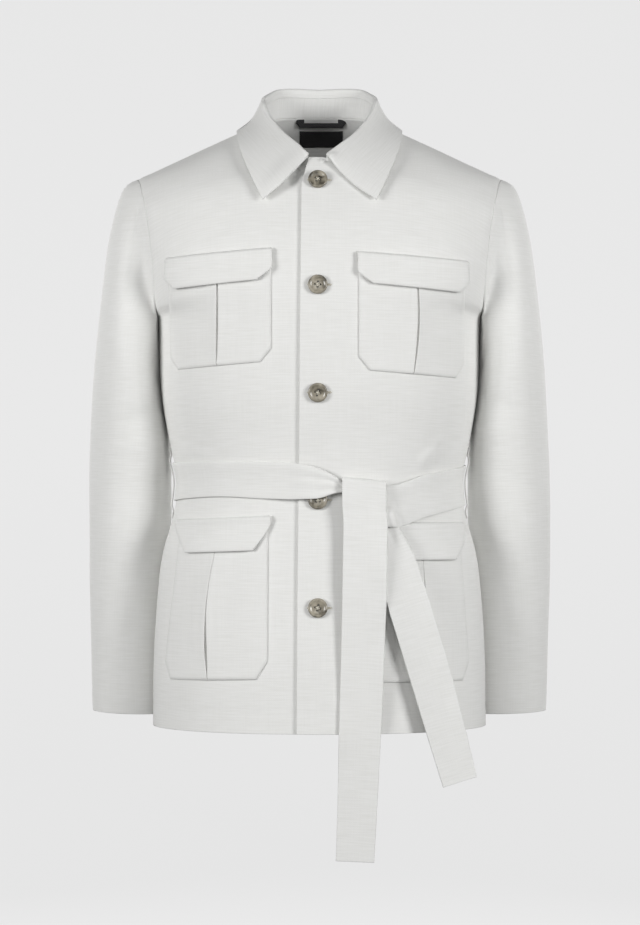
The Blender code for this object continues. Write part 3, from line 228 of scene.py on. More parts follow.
@dataclass
class Wall:
    """A piece of cloth between an outer and an inner grid of points."""

    outer: np.ndarray
    inner: np.ndarray
    grain: np.ndarray
    closed: bool = False

    def quads(self) -> np.ndarray:
        """The outer grid's faces, turned outward.

        Returns:
            Four places in the grid for each face.
        """
        rows, columns = self.outer.shape[:2]
        last = columns if self.closed else columns - 1
        i, j = np.meshgrid(np.arange(rows - 1), np.arange(last), indexing="ij")
        k = (j + 1) % columns
        corners = (i * columns + j, i * columns + k, (i + 1) * columns + k, (i + 1) * columns + j)
        faces = np.stack(corners, -1).reshape(-1, 4)
        points = self.outer.reshape(-1, 3)
        thick = points - self.inner.reshape(-1, 3)
        normals = np.cross(
            points[faces[:, 2]] - points[faces[:, 0]], points[faces[:, 3]] - points[faces[:, 1]]
        )
        return faces if np.sum(normals * thick[faces[:, 0]]) > 0 else faces[:, ::-1]

    def on_side(self, side: Side) -> "Wall":
        """The wall on one side of the jacket, from the left's."""
        mirror = (side.value, 1, 1)
        return Wall(self.outer * mirror, self.inner * mirror, self.grain, self.closed)

    def make(self, name: str) -> bpy.types.Object:
        """Make the closed mesh of the wall.

        Args:
            name: The piece's name.

        Returns:
            The new object.
        """
        count = self.outer.shape[0] * self.outer.shape[1]
        faces = self.quads()
        seen = set()
        for a, b, c, d in faces.tolist():
            seen.update(((a, b), (b, c), (c, d), (d, a)))
        rims = [(b, a, count + a, count + b) for a, b in seen if (b, a) not in seen]
        rims.sort()
        points = np.concatenate((self.outer.reshape(-1, 3), self.inner.reshape(-1, 3))) * MM
        grain = np.tile(self.grain.reshape(-1, 2), (2, 1))
        every = [*faces.tolist(), *(faces[:, ::-1] + count).tolist(), *rims]
        return mesh_object(name, points, every, grain)


def add_object(name: str, data: bpy.types.ID) -> bpy.types.Object:
    """Put a new object with its mesh, lamp or camera in the scene."""
    item = bpy.data.objects.new(name, data)
    bpy.context.scene.collection.objects.link(item)
    return item


def mesh_object(
    name: str, points: np.ndarray, faces: list, grain: np.ndarray | None = None
) -> bpy.types.Object:
    """Make a smooth mesh object.

    Args:
        name: The piece's name.
        points: Its points, in metres.
        faces: Its faces, as places in the points.
        grain: Where each point lies on the cloth as cut, in millimetres, for the weave.

    Returns:
        The new object.
    """
    mesh = bpy.data.meshes.new(name)
    mesh.from_pydata(np.asarray(points).tolist(), [], [tuple(face) for face in faces])
    mesh.shade_smooth()
    if grain is not None:
        layer = mesh.attributes.new("grain", "FLOAT_VECTOR", "POINT")
        values = np.zeros((len(points), 3), dtype=np.float32)
        values[:, :2] = grain * MM
        layer.data.foreach_set("vector", values.ravel())
    return add_object(name, mesh)


def ring_faces(rings: int, sides: int) -> list:
    """Join rings of points into a tube that is closed at both ends.

    Args:
        rings: How many rings there are.
        sides: How many points are in each.

    Returns:
        The faces, with the first ring's and the last ring's own at the end.
    """
    faces = []
    for i in range(0, (rings - 1) * sides, sides):
        for k in range(sides):
            j = (k + 1) % sides
            faces.append((i + k, i + j, i + sides + j, i + sides + k))
    last = (rings - 1) * sides
    return [*faces, tuple(range(sides))[::-1], tuple(range(last, last + sides))]


def turned(profile: tuple, sides: int) -> tuple[np.ndarray, list]:
    """Turn a profile round the upright axis.

    Args:
        profile: Radius and height, from one end to the other.
        sides: How many sides the form has.

    Returns:
        Its points and faces.
    """
    angles = [2 * math.pi * k / sides for k in range(sides)]
    points = [(r * math.cos(a), r * math.sin(a), z) for r, z in profile for a in angles]
    return np.array(points), ring_faces(len(profile), sides)


def grain_of(grid: np.ndarray, start_x: np.ndarray | float = 0.0) -> np.ndarray:
    """Lay the cloth's grain on a grid: across its rows, and up its columns.

    Args:
        grid: Rows of points.
        start_x: Where the first column lies across the cloth.

    Returns:
        Two lengths for each point.
    """
    across = np.linalg.norm(np.diff(grid, axis=1), axis=-1)
    up = np.linalg.norm(np.diff(grid, axis=0), axis=-1)
    u = np.zeros(grid.shape[:2])
    v = np.zeros(grid.shape[:2])
    u[:, 1:] = np.cumsum(across, axis=1)
    v[1:] = np.cumsum(up, axis=0)
    return np.stack((u + np.reshape(start_x, (-1, 1)), v), -1)


class Underlay:
    """What a piece lies on: the outer faces of the cloth laid down so far."""

    def __init__(self) -> None:
        """Start with nothing laid down."""
        self.points: list = []
        self.faces: list = []
        self.tree: BVHTree | None = None

    def lay(self, *walls: Wall) -> None:
        """Lay down the outer faces of some walls.

        Args:
            walls: The cloth to lay down.
        """
        for wall in walls:
            start = len(self.points)
            self.points.extend(wall.outer.reshape(-1, 3).tolist())
            self.faces.extend((wall.quads() + start).tolist())
        self.tree = BVHTree.FromPolygons(self.points, self.faces)

    def gap(self, point: np.ndarray, reach: float = 14.0) -> float:
        """Measure how far a point stands off what it lies on.

        Args:
            point: The point.
            reach: How deep inside a point can be and still count as inside.

        Returns:
            The gap, below 0 inside.
        """
        place, normal, _, distance = self.tree.find_nearest(Vector(point))
        gap = (Vector(point) - place).dot(normal)
        return distance if distance > reach or abs(gap) < distance * 0.7 else gap

    def depth(self, x: float, z: float, reach: float = 4.0) -> float:
        """Find how far forward the cloth comes near a place seen from the front.

        Args:
            x: The place across.
            z: The place up.
            reach: How near counts.

        Returns:
            The least depth, or infinity where nothing is laid.
        """
        found = math.inf
        for dx in (-reach, 0.0, reach):
            for dz in (-reach, 0.0, reach):
                hit = self.tree.ray_cast(Vector((x + dx, -400, z + dz)), Vector((0, 1, 0)), 399)[0]
                if hit is not None:
                    found = min(found, hit.y)
        return found

    def settle(
        self, wall: Wall, gap: float, free: np.ndarray | None = None, rounds: int = 6
    ) -> Wall:
        """Push a wall out along itself until its inner face stands clear.

        Args:
            wall: The cloth to settle.
            gap: How far clear it has to stand.
            free: Which points may move, or None for all of them.
            rounds: How many times to look.

        Returns:
            The settled wall.
        """
        ways = unit(wall.outer - wall.inner)
        for _ in range(rounds):
            push = np.array([[gap - self.gap(p) for p in row] for row in wall.inner])
            push = np.maximum(push, 0.0)
            if free is not None:
                push = np.where(free, push, 0.0)
            if push.max() < 0.03:
                break
            push = soften(push)
            if free is not None:
                push = np.where(free, push, 0.0)
            wall.inner = wall.inner + ways * push[..., None]
            wall.outer = wall.outer + ways * push[..., None]
        return wall


# Finishes


def from_hex(code: str) -> tuple[float, float, float, float]:
    """Turn an sRGB hex colour to linear.

    Args:
        code: Six hex digits after a number sign.

    Returns:
        Linear red, green, blue and an alpha of 1.
    """
    parts = [int(code[k : k + 2], 16) / 255 for k in (1, 3, 5)]
    linear = [c / 12.92 if c <= 0.04045 else ((c + 0.055) / 1.055) ** 2.4 for c in parts]
    return (*linear, 1.0)


def add_node(
    tree: bpy.types.NodeTree, kind: str, links: dict | None = None, **settings: object
) -> bpy.types.Node:
    """Add one node with its settings, values and links.

    Args:
        tree: The node tree.
        kind: The node's type name, without its ShaderNode start.
        links: For each input, by name or number, a value or the socket that feeds it.
        settings: The node's own properties.

    Returns:
        The new node.
    """
    node = tree.nodes.new("ShaderNode" + kind)
    for name, value in settings.items():
        setattr(node, name, value)
    for key, value in (links or {}).items():
        if isinstance(value, bpy.types.NodeSocket):
            tree.links.new(value, node.inputs[key])
        else:
            node.inputs[key].default_value = value
    return node


def start_material(name: str, **values: object) -> tuple:
    """Start a material whose shader has its constant values set.

    Args:
        name: The material's name.
        values: The shader's input values, with underscores for spaces.

    Returns:
        The material, its node tree and its shader.
    """
    material = bpy.data.materials.new(name)
    material.use_nodes = True
    tree = material.node_tree
    shader = tree.nodes["Principled BSDF"]
    for key, value in values.items():
        shader.inputs[key.replace("_", " ")].default_value = value
    return material, tree, shader


@dataclass(frozen=True)
class LinenFinish:
    """Plain-woven linen, bleached off-white and pressed: matt, with thick places in its yarn.

    The eye sees a dry surface with no gloss, and faint level streaks where the weft yarn is
    thick. Its yarns lie 0.7 mm apart, which is finer than a pixel, so the weave is drawn at
    1.1 mm and the streaks of thick yarn one and a half yarns wide.
    """

    name: str = "off_white_linen"
    pale: str = "#ECECEA"
    deep: str = "#E4E4E1"
    yarn_mm: float = 1.1
    slub_length_mm: float = 32.0
    slub_width_mm: float = 1.6
    roughness: float = 0.92
    bump_mm: float = 0.1

    def make(self) -> bpy.types.Material:
        """Build the material from the cloth's grain.

        Returns:
            The material.
        """
        material, tree, shader = start_material(
            self.name, Roughness=self.roughness, Sheen_Weight=0.12, Sheen_Roughness=0.6, IOR=1.46
        )
        grain = add_node(tree, "Attribute", attribute_name="grain").outputs["Vector"]
        weft = self.streaks(tree, grain, self.slub_length_mm, self.slub_width_mm)
        warp = self.streaks(tree, grain, self.slub_width_mm, self.slub_length_mm * 1.6)
        cloud = add_node(
            tree, "TexNoise", {"Vector": grain, "Scale": 22.0, "Detail": 2.0}, noise_dimensions="2D"
        ).outputs["Fac"]
        both = 0.0
        for part, share in ((weft, 0.62), (warp, 0.26), (cloud, 0.12)):
            links = {0: part, 1: share, 2: both}
            both = add_node(tree, "Math", links, operation="MULTIPLY_ADD").outputs[0]
        shade = add_node(tree, "MapRange", {"Value": both, "From Min": 0.3, "From Max": 0.7})
        links = {"Factor": shade.outputs[0], 6: from_hex(self.deep), 7: from_hex(self.pale)}
        colour = add_node(tree, "Mix", links, data_type="RGBA").outputs[2]
        tree.links.new(colour, shader.inputs["Base Color"])
        links = {0: self.weave(tree, grain), 1: 0.5, 2: both}
        height = add_node(tree, "Math", links, operation="MULTIPLY_ADD").outputs[0]
        links = {"Height": height, "Distance": self.bump_mm * MM, "Strength": 0.5}
        tree.links.new(add_node(tree, "Bump", links).outputs["Normal"], shader.inputs["Normal"])
        return material

    def streaks(
        self, tree: bpy.types.NodeTree, grain: bpy.types.NodeSocket, along: float, wide: float
    ) -> bpy.types.NodeSocket:
        """Draw yarn that is thick in places.

        Args:
            tree: The node tree.
            grain: The cloth's grain, in metres.
            along: The streaks' size across the cloth.
            wide: Their size up it.

        Returns:
            The streaks, from 0 to 1.
        """
        links = {0: grain, 1: (1 / (along * MM), 1 / (wide * MM), 1.0)}
        scaled = add_node(tree, "VectorMath", links, operation="MULTIPLY").outputs[0]
        links = {"Vector": scaled, "Scale": 1.0, "Detail": 2.5, "Roughness": 0.55}
        return add_node(tree, "TexNoise", links, noise_dimensions="2D").outputs["Fac"]

    def weave(
        self, tree: bpy.types.NodeTree, grain: bpy.types.NodeSocket
    ) -> bpy.types.NodeSocket:
        """Draw one yarn passing over and under the next.

        Args:
            tree: The node tree.
            grain: The cloth's grain, in metres.

        Returns:
            The weave's height, from -1 to 1.
        """
        turns = add_node(tree, "VectorMath", {0: grain}, operation="SCALE")
        turns.inputs["Scale"].default_value = math.pi / (self.yarn_mm * MM)
        waves = add_node(tree, "VectorMath", {0: turns.outputs[0]}, operation="SINE").outputs[0]
        parts = add_node(tree, "SeparateXYZ", {0: waves})
        links = {0: parts.outputs[0], 1: parts.outputs[1]}
        return add_node(tree, "Math", links, operation="MULTIPLY").outputs[0]


@dataclass(frozen=True)
class HornFinish:
    """Buffalo horn, turned and polished: brown-grey clouds with paler veins, and a soft gloss.

    Two or three clouds cross a 23 mm button, each drawn out and split by finer ones.
    """

    name: str = "polished_horn"
    dark: str = "#37332B"
    middle: str = "#827C6E"
    pale: str = "#A8A191"
    cloud_mm: float = 11.0
    roughness: float = 0.3

    def make(self) -> bpy.types.Material:
        """Build the material from clouds in the button's own space.

        Returns:
            The material.
        """
        material, tree, shader = start_material(
            self.name, Roughness=self.roughness, IOR=1.54, Coat_Weight=0.25, Coat_Roughness=0.18
        )
        place = add_node(tree, "TexCoord").outputs["Object"]
        random = add_node(tree, "ObjectInfo").outputs["Random"]
        links = {"Vector": place, "W": random, "Scale": 1 / (self.cloud_mm * MM)}
        links.update({"Detail": 2.0, "Distortion": 0.9})
        clouds = add_node(tree, "TexNoise", links, noise_dimensions="4D").outputs["Fac"]
        ramp = add_node(tree, "ValToRGB", {"Fac": clouds})
        first, last = ramp.color_ramp.elements
        first.position, first.color = 0.3, from_hex(self.dark)
        last.position, last.color = 0.66, from_hex(self.pale)
        ramp.color_ramp.elements.new(0.47).color = from_hex(self.middle)
        tree.links.new(ramp.outputs["Color"], shader.inputs["Base Color"])
        return material


@dataclass(frozen=True)
class TapeFinish:
    """Black polyester tape and label cloth: closely woven, with a faint ribbed sheen.

    Its ribs are 0.6 mm apart, and are drawn at 0.9 mm so that they show.
    """

    name: str = "black_woven_tape"
    dark: str = "#161617"
    pale: str = "#2B2B2D"
    rib_mm: float = 0.9
    bump_mm: float = 0.12

    def make(self) -> bpy.types.Material:
        """Build the material from ribs along the grain.

        Returns:
            The material.
        """
        material, tree, shader = start_material(
            self.name, Roughness=0.7, Sheen_Weight=0.2, Sheen_Roughness=0.5, IOR=1.5
        )
        grain = add_node(tree, "Attribute", attribute_name="grain").outputs["Vector"]
        # A wave texture turns over 20 radians in a length of one.
        scale = 1 / (self.rib_mm * MM) / 20 * math.pi
        links = {"Vector": grain, "Scale": scale, "Distortion": 0.3}
        ribs = add_node(tree, "TexWave", links, bands_direction="DIAGONAL").outputs["Fac"]
        links = {"Factor": ribs, 6: from_hex(self.dark), 7: from_hex(self.pale)}
        colour = add_node(tree, "Mix", links, data_type="RGBA").outputs[2]
        tree.links.new(colour, shader.inputs["Base Color"])
        links = {"Height": ribs, "Distance": self.bump_mm * MM, "Strength": 0.7}
        tree.links.new(add_node(tree, "Bump", links).outputs["Normal"], shader.inputs["Normal"])
        return material


@dataclass(frozen=True)
class ThreadFinish:
    """Twisted cotton sewing thread, pale and slightly glossy."""

    name: str = "cotton_thread"
    pale: str = "#DCD8CB"
    deep: str = "#BDB8A8"

    def make(self) -> bpy.types.Material:
        """Build the material, with the twist as fine stripes.

        Returns:
            The material.
        """
        material, tree, shader = start_material(
            self.name, Roughness=0.65, Sheen_Weight=0.1, IOR=1.48
        )
        place = add_node(tree, "TexCoord").outputs["Object"]
        links = {"Vector": place, "Scale": 420.0, "Distortion": 1.0}
        twist = add_node(tree, "TexWave", links, bands_direction="DIAGONAL").outputs["Fac"]
        links = {"Factor": twist, 6: from_hex(self.deep), 7: from_hex(self.pale)}
        colour = add_node(tree, "Mix", links, data_type="RGBA").outputs[2]
        tree.links.new(colour, shader.inputs["Base Color"])
        return material


@dataclass(frozen=True)
class StudioFinish:
    """Matt acrylic sheet, lit evenly from behind: a plain pale floor and wall with no shadow."""

    name: str = "backlit_acrylic"
    pale: str = "#D9D9D9"
    face: str = "#707070"

    def make(self) -> bpy.types.Material:
        """Build the material.

        Returns:
            The material.
        """
        return start_material(
            self.name,
            Base_Color=from_hex(self.face),
            Roughness=1.0,
            Specular_IOR_Level=0.0,
            Emission_Color=from_hex(self.pale),
            Emission_Strength=1.0,
        )[0]


class Finishes:
    """The finishes of the jacket, each made once."""

    def __init__(self) -> None:
        """Make every finish."""
        self.linen = LinenFinish().make()
        self.horn = HornFinish().make()
        self.tape = TapeFinish().make()
        self.thread = ThreadFinish().make()

    def dress(
        self, item: bpy.types.Object, material: bpy.types.Material, slot: Slot, *nodes: str
    ) -> bpy.types.Object:
        """Give a piece its finish, and hide the CAD nodes that it stands for.

        Args:
            item: The piece.
            material: Its finish.
            slot: The record's slot that the finish belongs to. Not used.
            nodes: The CAD nodes that it replaces.

        Returns:
            The piece.
        """
        item.data.materials.append(material)
        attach(item, "root")
        if nodes:
            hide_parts(*nodes)
        LOG.info("made %s with %d faces", item.name, len(item.data.polygons))
        return item

    def sheet(
        self,
        wall: Wall,
        node: str,
        flat: tuple[float, float],
        held: Held,
        rests_on: tuple[str, ...] = (),
        area: float | None = None,
    ) -> None:
        """Make a piece of linen and dress it.

        Args:
            wall: The piece's form.
            node: The CAD node that it replaces.
            flat: Its width and length as cut, in metres. Not used.
            held: How it is held. Not used.
            rests_on: The pieces that it rests on. Not used.
            area: Its area as cut, in square metres, where that isn't a rectangle. Not used.
        """
        item = self.dress(wall.make(node + "_cloth"), self.linen, Slot.LINEN, node)


# The jacket's form. Each body section is a row of numbers from the hem up to the shoulder: the
# centre's x, y and z, the seam's x, y and z, the fullness at the centre, the reach into the
# seam, the turn at the seam in degrees, and the drop there.

FRONT_SECTIONS = (
    (0, -128, -733, 202, -10, -733, 118, 66, 90, 0.00),
    (0, -124, -640, 200.5, -8, -640, 118, 66, 90, 0.00),
    (0, -114, -540, 193, -5, -540, 116, 62, 90, 0.00),
    (0, -106, -480, 178, -2, -480, 108, 58, 90, 0.00),
    (0, -102, -440, 172, 0, -440, 104, 56, 90, 0.00),
    (0, -106, -400, 180.5, 0, -400, 110, 58, 90, 0.00),
    (0, -116, -330, 192.5, 0, -330, 118, 66, 90, 0.00),
    (0, -119, -252, 195, 0, -252, 118, 66, 90, 0.00),
    (0, -117, -200, 197, -45, -226, 110, 50, 66, 0.12),
    (0, -110, -150, 200, -60, -178, 104, 50, 48, 0.20),
    (0, -88, -95, 207, -50, -123, 96, 56, 34, 0.24),
    (0, -65, -56, 213, -33, -95, 84, 60, 28, 0.34),
    (46, -47, -38, 218, -12, -76, 60, 56, 20, 0.40),
    (74, 4, -1, 222, 6, -69, 49, 49, 0.8, 0.46),
)
BACK_SECTIONS = (
    (0, 95, -733, 202, -10, -733, 112, 58, -90, 0.00),
    (0, 92, -640, 200.5, -8, -640, 112, 56, -90, 0.00),
    (0, 86, -540, 193, -5, -540, 108, 52, -90, 0.00),
    (0, 81, -480, 178, -2, -480, 100, 48, -90, 0.00),
    (0, 80, -440, 172, 0, -440, 96, 46, -90, 0.00),
    (0, 83, -400, 180.5, 0, -400, 100, 48, -90, 0.00),
    (0, 92, -330, 192.5, 0, -330, 106, 56, -90, 0.00),
    (0, 104, -252, 195, 0, -252, 108, 62, -90, 0.00),
    (0, 108, -180, 198.5, 50, -222, 108, 50, -52, 0.16),
    (0, 104, -110, 204, 68, -165, 108, 50, -34, 0.28),
    (0, 95, -58, 212, 58, -112, 104, 56, -20, 0.40),
    (0, 84, -18, 217, 42, -92, 92, 60, -14, 0.45),
    (0, 74, 2, 220, 24, -78, 78, 60, -8, 0.46),
    (0, 66, 15, 222, 6, -69, 66, 60, -2, 0.46),
)
FRONT_NECKLINE = (
    (0.0, 0, -65, -56),
    (0.25, 24, -61, -52),
    (0.5, 46, -47, -38),
    (0.75, 64, -23, -19),
    (1.0, 74, 4, -1),
)
BACK_NECKLINE = (
    (0.0, 0, 66, 15),
    (0.25, 26, 63, 14.5),
    (0.5, 49, 50, 12),
    (0.75, 66, 28, 6),
    (1.0, 74, 4, -1),
)
ARMHOLE_ROWS = (7, 7.6, 8.3, 9, 9.6, 10.2, 10.8, 11, 11.4, 11.8, 12.2, 12.6, 13)


@dataclass(frozen=True)
class Fold:
    """A soft trough or ridge in the cloth, along a line across it."""

    path: tuple[tuple[float, float], ...]
    width: float
    rise: float

    def relief(self, x: np.ndarray, z: np.ndarray) -> np.ndarray:
        """Find how far the fold lifts the cloth.

        Args:
            x: Places across the cloth.
            z: Places up it.

        Returns:
            The lift at each place.
        """
        points = np.array(self.path, dtype=float)
        table = np.column_stack((np.linspace(0, 1, len(points)), points))
        line = spline_rows(table, np.linspace(0, 1, 25))
        best = np.full(np.shape(x), 1e9)
        share = np.zeros(np.shape(x))
        for k in range(len(line) - 1):
            start, way = line[k], line[k + 1] - line[k]
            t = np.clip(((x - start[0]) * way[0] + (z - start[1]) * way[1]) / (way @ way), 0, 1)
            far = np.hypot(x - start[0] - t * way[0], z - start[1] - t * way[1])
            nearer = far < best
            best = np.where(nearer, far, best)
            share = np.where(nearer, (k + t) / (len(line) - 1), share)
        fade = np.sin(np.pi * np.clip(share, 0.02, 0.98)) ** 0.7
        uneven = 1 + 0.25 * np.sin(share * 9 + self.width)
        return self.rise * fade * uneven * np.exp(-((best / (self.width * uneven)) ** 2))


def folded(folds: tuple, x: np.ndarray, z: np.ndarray) -> np.ndarray:
    """How far some folds lift the cloth together."""
    return sum(fold.relief(x, z) for fold in folds)


def slack(a: np.ndarray, b: np.ndarray, seed: float) -> np.ndarray:
    """The slow, uneven swell of cloth that nothing pulls tight, from -1 to 1.

    Args:
        a: Places across the cloth.
        b: Places up it.
        seed: Which swell.

    Returns:
        The swell at each place.
    """
    first = np.sin(a / 43 + seed + 0.8 * np.sin(b / 90 + seed))
    second = np.sin(b / 57 + 1.7 * seed + a / 120)
    third = np.sin((a + b) / 36 + 2.3 * seed) * 0.6
    fourth = np.sin((a - 1.4 * b) / 29 + 3.1 * seed) * 0.35
    return (first + second + third + fourth) / 2.95


@dataclass
class JacketForm:
    """The outer form of the body, which every other piece lies on or hangs from."""

    neck_row: float = 11.0
    top_row: float = 13.0
    yoke_row: float = 10.0
    back_neck_share: float = 0.4
    neck_side: tuple = (74.0, 4.0, -1.0)
    shoulder_tip: tuple = (222.0, 6.0, -69.0)
    lap_step: float = 2.7
    lap_reach: float = 78.0
    swell_mm: float = 0.5
    front_folds: tuple = (
        Fold(((120, -425), (124, -412), (137, -398), (150, -380)), 5.0, 1.7),
        Fold(((134, -430), (142, -414), (152, -404)), 4.0, -1.0),
        Fold(((-165, -520), (-150, -500), (-134, -484)), 6.0, -1.0),
        Fold(((-168, -392), (-146, -404), (-120, -412)), 6.0, 0.8),
        Fold(((30, -270), (60, -330), (70, -400)), 20.0, -0.7),
        Fold(((-40, -300), (-62, -360), (-70, -420)), 20.0, -0.7),
        Fold(((150, -150), (120, -140), (92, -110)), 12.0, -0.7),
        Fold(((-150, -150), (-122, -140), (-96, -112)), 12.0, -0.7),
        Fold(((-30, -560), (-26, -640), (-34, -725)), 16.0, 0.6),
        Fold(((40, -520), (30, -600), (24, -700)), 14.0, -0.6),
    )
    back_folds: tuple = (
        Fold(((60, -300), (80, -360), (120, -420)), 14.0, -1.1),
        Fold(((-60, -290), (-84, -356), (-118, -418)), 15.0, -1.0),
        Fold(((-120, -425), (-60, -404), (20, -400), (110, -420)), 9.0, 1.2),
        Fold(((-90, -478), (-20, -492), (80, -480)), 8.0, -1.0),
        Fold(((150, -230), (120, -180), (96, -120)), 12.0, 1.0),
        Fold(((-150, -236), (-122, -186), (-98, -130)), 12.0, 1.0),
        Fold(((40, -500), (46, -600), (40, -715)), 18.0, 1.0),
        Fold(((-46, -505), (-56, -610), (-50, -715)), 18.0, -0.9),
    )

    def __post_init__(self) -> None:
        """Number the sections' rows."""
        self.front_table = np.array([(k, *row) for k, row in enumerate(FRONT_SECTIONS)], float)
        self.back_table = np.array([(k, *row) for k, row in enumerate(BACK_SECTIONS)], float)
        rows = np.linspace(0, 7, 200)
        self.waist_rows = rows
        self.waist_heights = spline_rows(self.front_table, rows)[:, 2]

    def controls(self, table: np.ndarray, row: np.ndarray) -> np.ndarray:
        """Find the control points of the body's sections.

        Args:
            table: The front's sections or the back's.
            row: Row numbers.

        Returns:
            Four points for each row.
        """
        values = spline_rows(table, row)
        centre, seam = values[:, 0:3], values[:, 3:6]
        fullness, reach, turn, drop = (values[:, k] for k in (6, 7, 8, 9))
        lean = np.zeros_like(drop)
        if table is self.front_table:
            share = (row - self.neck_row) / (self.top_row - self.neck_row)
            neck = spline_rows(FRONT_NECKLINE, share)
            centre = np.where((row > self.neck_row)[:, None], neck, centre)
            lean = drop * soft_step((row - 9.8) / 2.2)
        zero = np.zeros_like(drop)
        leave = np.stack((fullness, zero, -fullness * lean * 0.6), -1)
        heading = np.radians(turn)
        arrive = np.stack((np.cos(heading), np.sin(heading), -drop), -1) * reach[:, None]
        return np.stack((centre, centre + leave, seam - arrive, seam), 1)

    def seam_point(self, share: np.ndarray) -> np.ndarray:
        """Points of the shoulder seam, from the neck's side point to the tip."""
        share = np.reshape(share, (-1, 1))
        return np.array(self.neck_side) * (1 - share) + np.array(self.shoulder_tip) * share

    def front(self, row: np.ndarray, t: np.ndarray) -> np.ndarray:
        """Find points of the left front's outer face.

        Args:
            row: Row numbers.
            t: Shares of the way from the centre to the seam. Below 0 it runs on past it.

        Returns:
            The points.
        """
        row, t = np.broadcast_arrays(np.asarray(row, float), np.asarray(t, float))
        row, t = row.ravel(), t.ravel()
        points = bezier(self.controls(self.front_table, row), np.abs(t))
        points[:, 0] *= np.where(t < 0, -1, 1)
        near_top = soft_step((row - 12.4) / 0.6)[:, None]
        return points * (1 - near_top) + self.seam_point(t) * near_top

    def back(self, row: np.ndarray, t: np.ndarray) -> np.ndarray:
        """Find points of the back's outer face, on the wearer's left.

        Args:
            row: Row numbers.
            t: Shares of the way from the centre to the seam.

        Returns:
            The points.
        """
        row, t = np.broadcast_arrays(np.asarray(row, float), np.asarray(t, float))
        row, t = row.ravel(), t.ravel()
        points = bezier(self.controls(self.back_table, row), t)
        rise = np.maximum((row - self.yoke_row) / (self.top_row - self.yoke_row), 0.0) ** 2
        plain = bezier(self.controls(self.back_table, np.full_like(row, self.top_row)), t)
        neck = spline_rows(BACK_NECKLINE, t / self.back_neck_share)
        share = (t - self.back_neck_share) / (1 - self.back_neck_share)
        top = np.where((t <= self.back_neck_share)[:, None], neck, self.seam_point(share))
        return points + (top - plain) * rise[:, None]

    def share_at(self, row: np.ndarray, x: np.ndarray) -> np.ndarray:
        """Find how far along its section the front reaches a distance from the centre.

        Args:
            row: Row numbers.
            x: Distances from the centre.

        Returns:
            The shares.
        """
        low, high = np.zeros_like(row), np.ones_like(row)
        controls = self.controls(self.front_table, row)
        for _ in range(30):
            middle = (low + high) / 2
            below = bezier(controls, middle)[:, 0] < x
            low, high = np.where(below, middle, low), np.where(below, high, middle)
        return (low + high) / 2

    def front_at(self, x: np.ndarray, z: np.ndarray) -> tuple[np.ndarray, np.ndarray]:
        """Find the left front's points and normals at places seen from the front.

        Args:
            x: Places across, above 0.
            z: Places up.

        Returns:
            The points and their normals.
        """
        x, z = np.ravel(x).astype(float), np.ravel(z).astype(float)
        # A first guess, which small steps along the surface then bring to the place.
        row = np.interp(z, self.waist_heights, self.waist_rows)
        underarm, row_height, half_width = -252, 52, 190
        row = np.where(z > underarm, 7.0 + (z - underarm) / row_height, row)
        t = np.clip(x / half_width, 0.02, 0.9)
        step = 1e-3
        for _ in range(25):
            here = self.front(row, t)
            by_row = (self.front(row + step, t) - here) / step
            by_t = (self.front(row, t + step) - here) / step
            miss_x, miss_z = x - here[:, 0], z - here[:, 2]
            scale = by_row[:, 0] * by_t[:, 2] - by_row[:, 2] * by_t[:, 0]
            scale = np.where(np.abs(scale) < 1e-6, 1e-6, scale)
            d_row = (miss_x * by_t[:, 2] - miss_z * by_t[:, 0]) / scale
            d_t = (by_row[:, 0] * miss_z - by_row[:, 2] * miss_x) / scale
            row = np.clip(row + np.clip(d_row, -0.8, 0.8), 0.0, 12.9)
            t = np.clip(t + np.clip(d_t, -0.2, 0.2), 0.0, 0.995)
        return here, unit(np.cross(by_t, by_row))

    def front_relief(self, x: np.ndarray, z: np.ndarray) -> np.ndarray:
        """How far folds and slack lift the fronts, with x above 0 on the wearer's left."""
        return self.swell_mm * slack(x, z, 0.7) + folded(self.front_folds, x, z)

    def back_relief(self, x: np.ndarray, z: np.ndarray) -> np.ndarray:
        """How far folds and slack lift the back."""
        return self.swell_mm * 1.4 * slack(x, z, 2.9) + folded(self.back_folds, x, z)

    def lap_drop(self, x: np.ndarray) -> np.ndarray:
        """How far the right front steps in near the centre, to pass under the left."""
        return self.lap_step * soft_step((self.lap_reach - x) / self.lap_reach * 1.6)

    def on_front(self, side: Side, x: np.ndarray, z: np.ndarray, stand: np.ndarray) -> np.ndarray:
        """Find points at a stand-off from a front.

        Args:
            side: Which front.
            x: Places across, above 0.
            z: Places up.
            stand: How far off the cloth each point stands.

        Returns:
            The points, shaped as x is.
        """
        points, normals = self.front_at(x, z)
        lift = np.ravel(stand) + self.front_relief(np.ravel(x) * side.value, np.ravel(z))
        if side is Side.RIGHT:
            lift = lift - self.lap_drop(np.ravel(x))
        points = (points + normals * lift[:, None]) * (side.value, 1, 1)
        return points.reshape(*np.shape(x), 3)

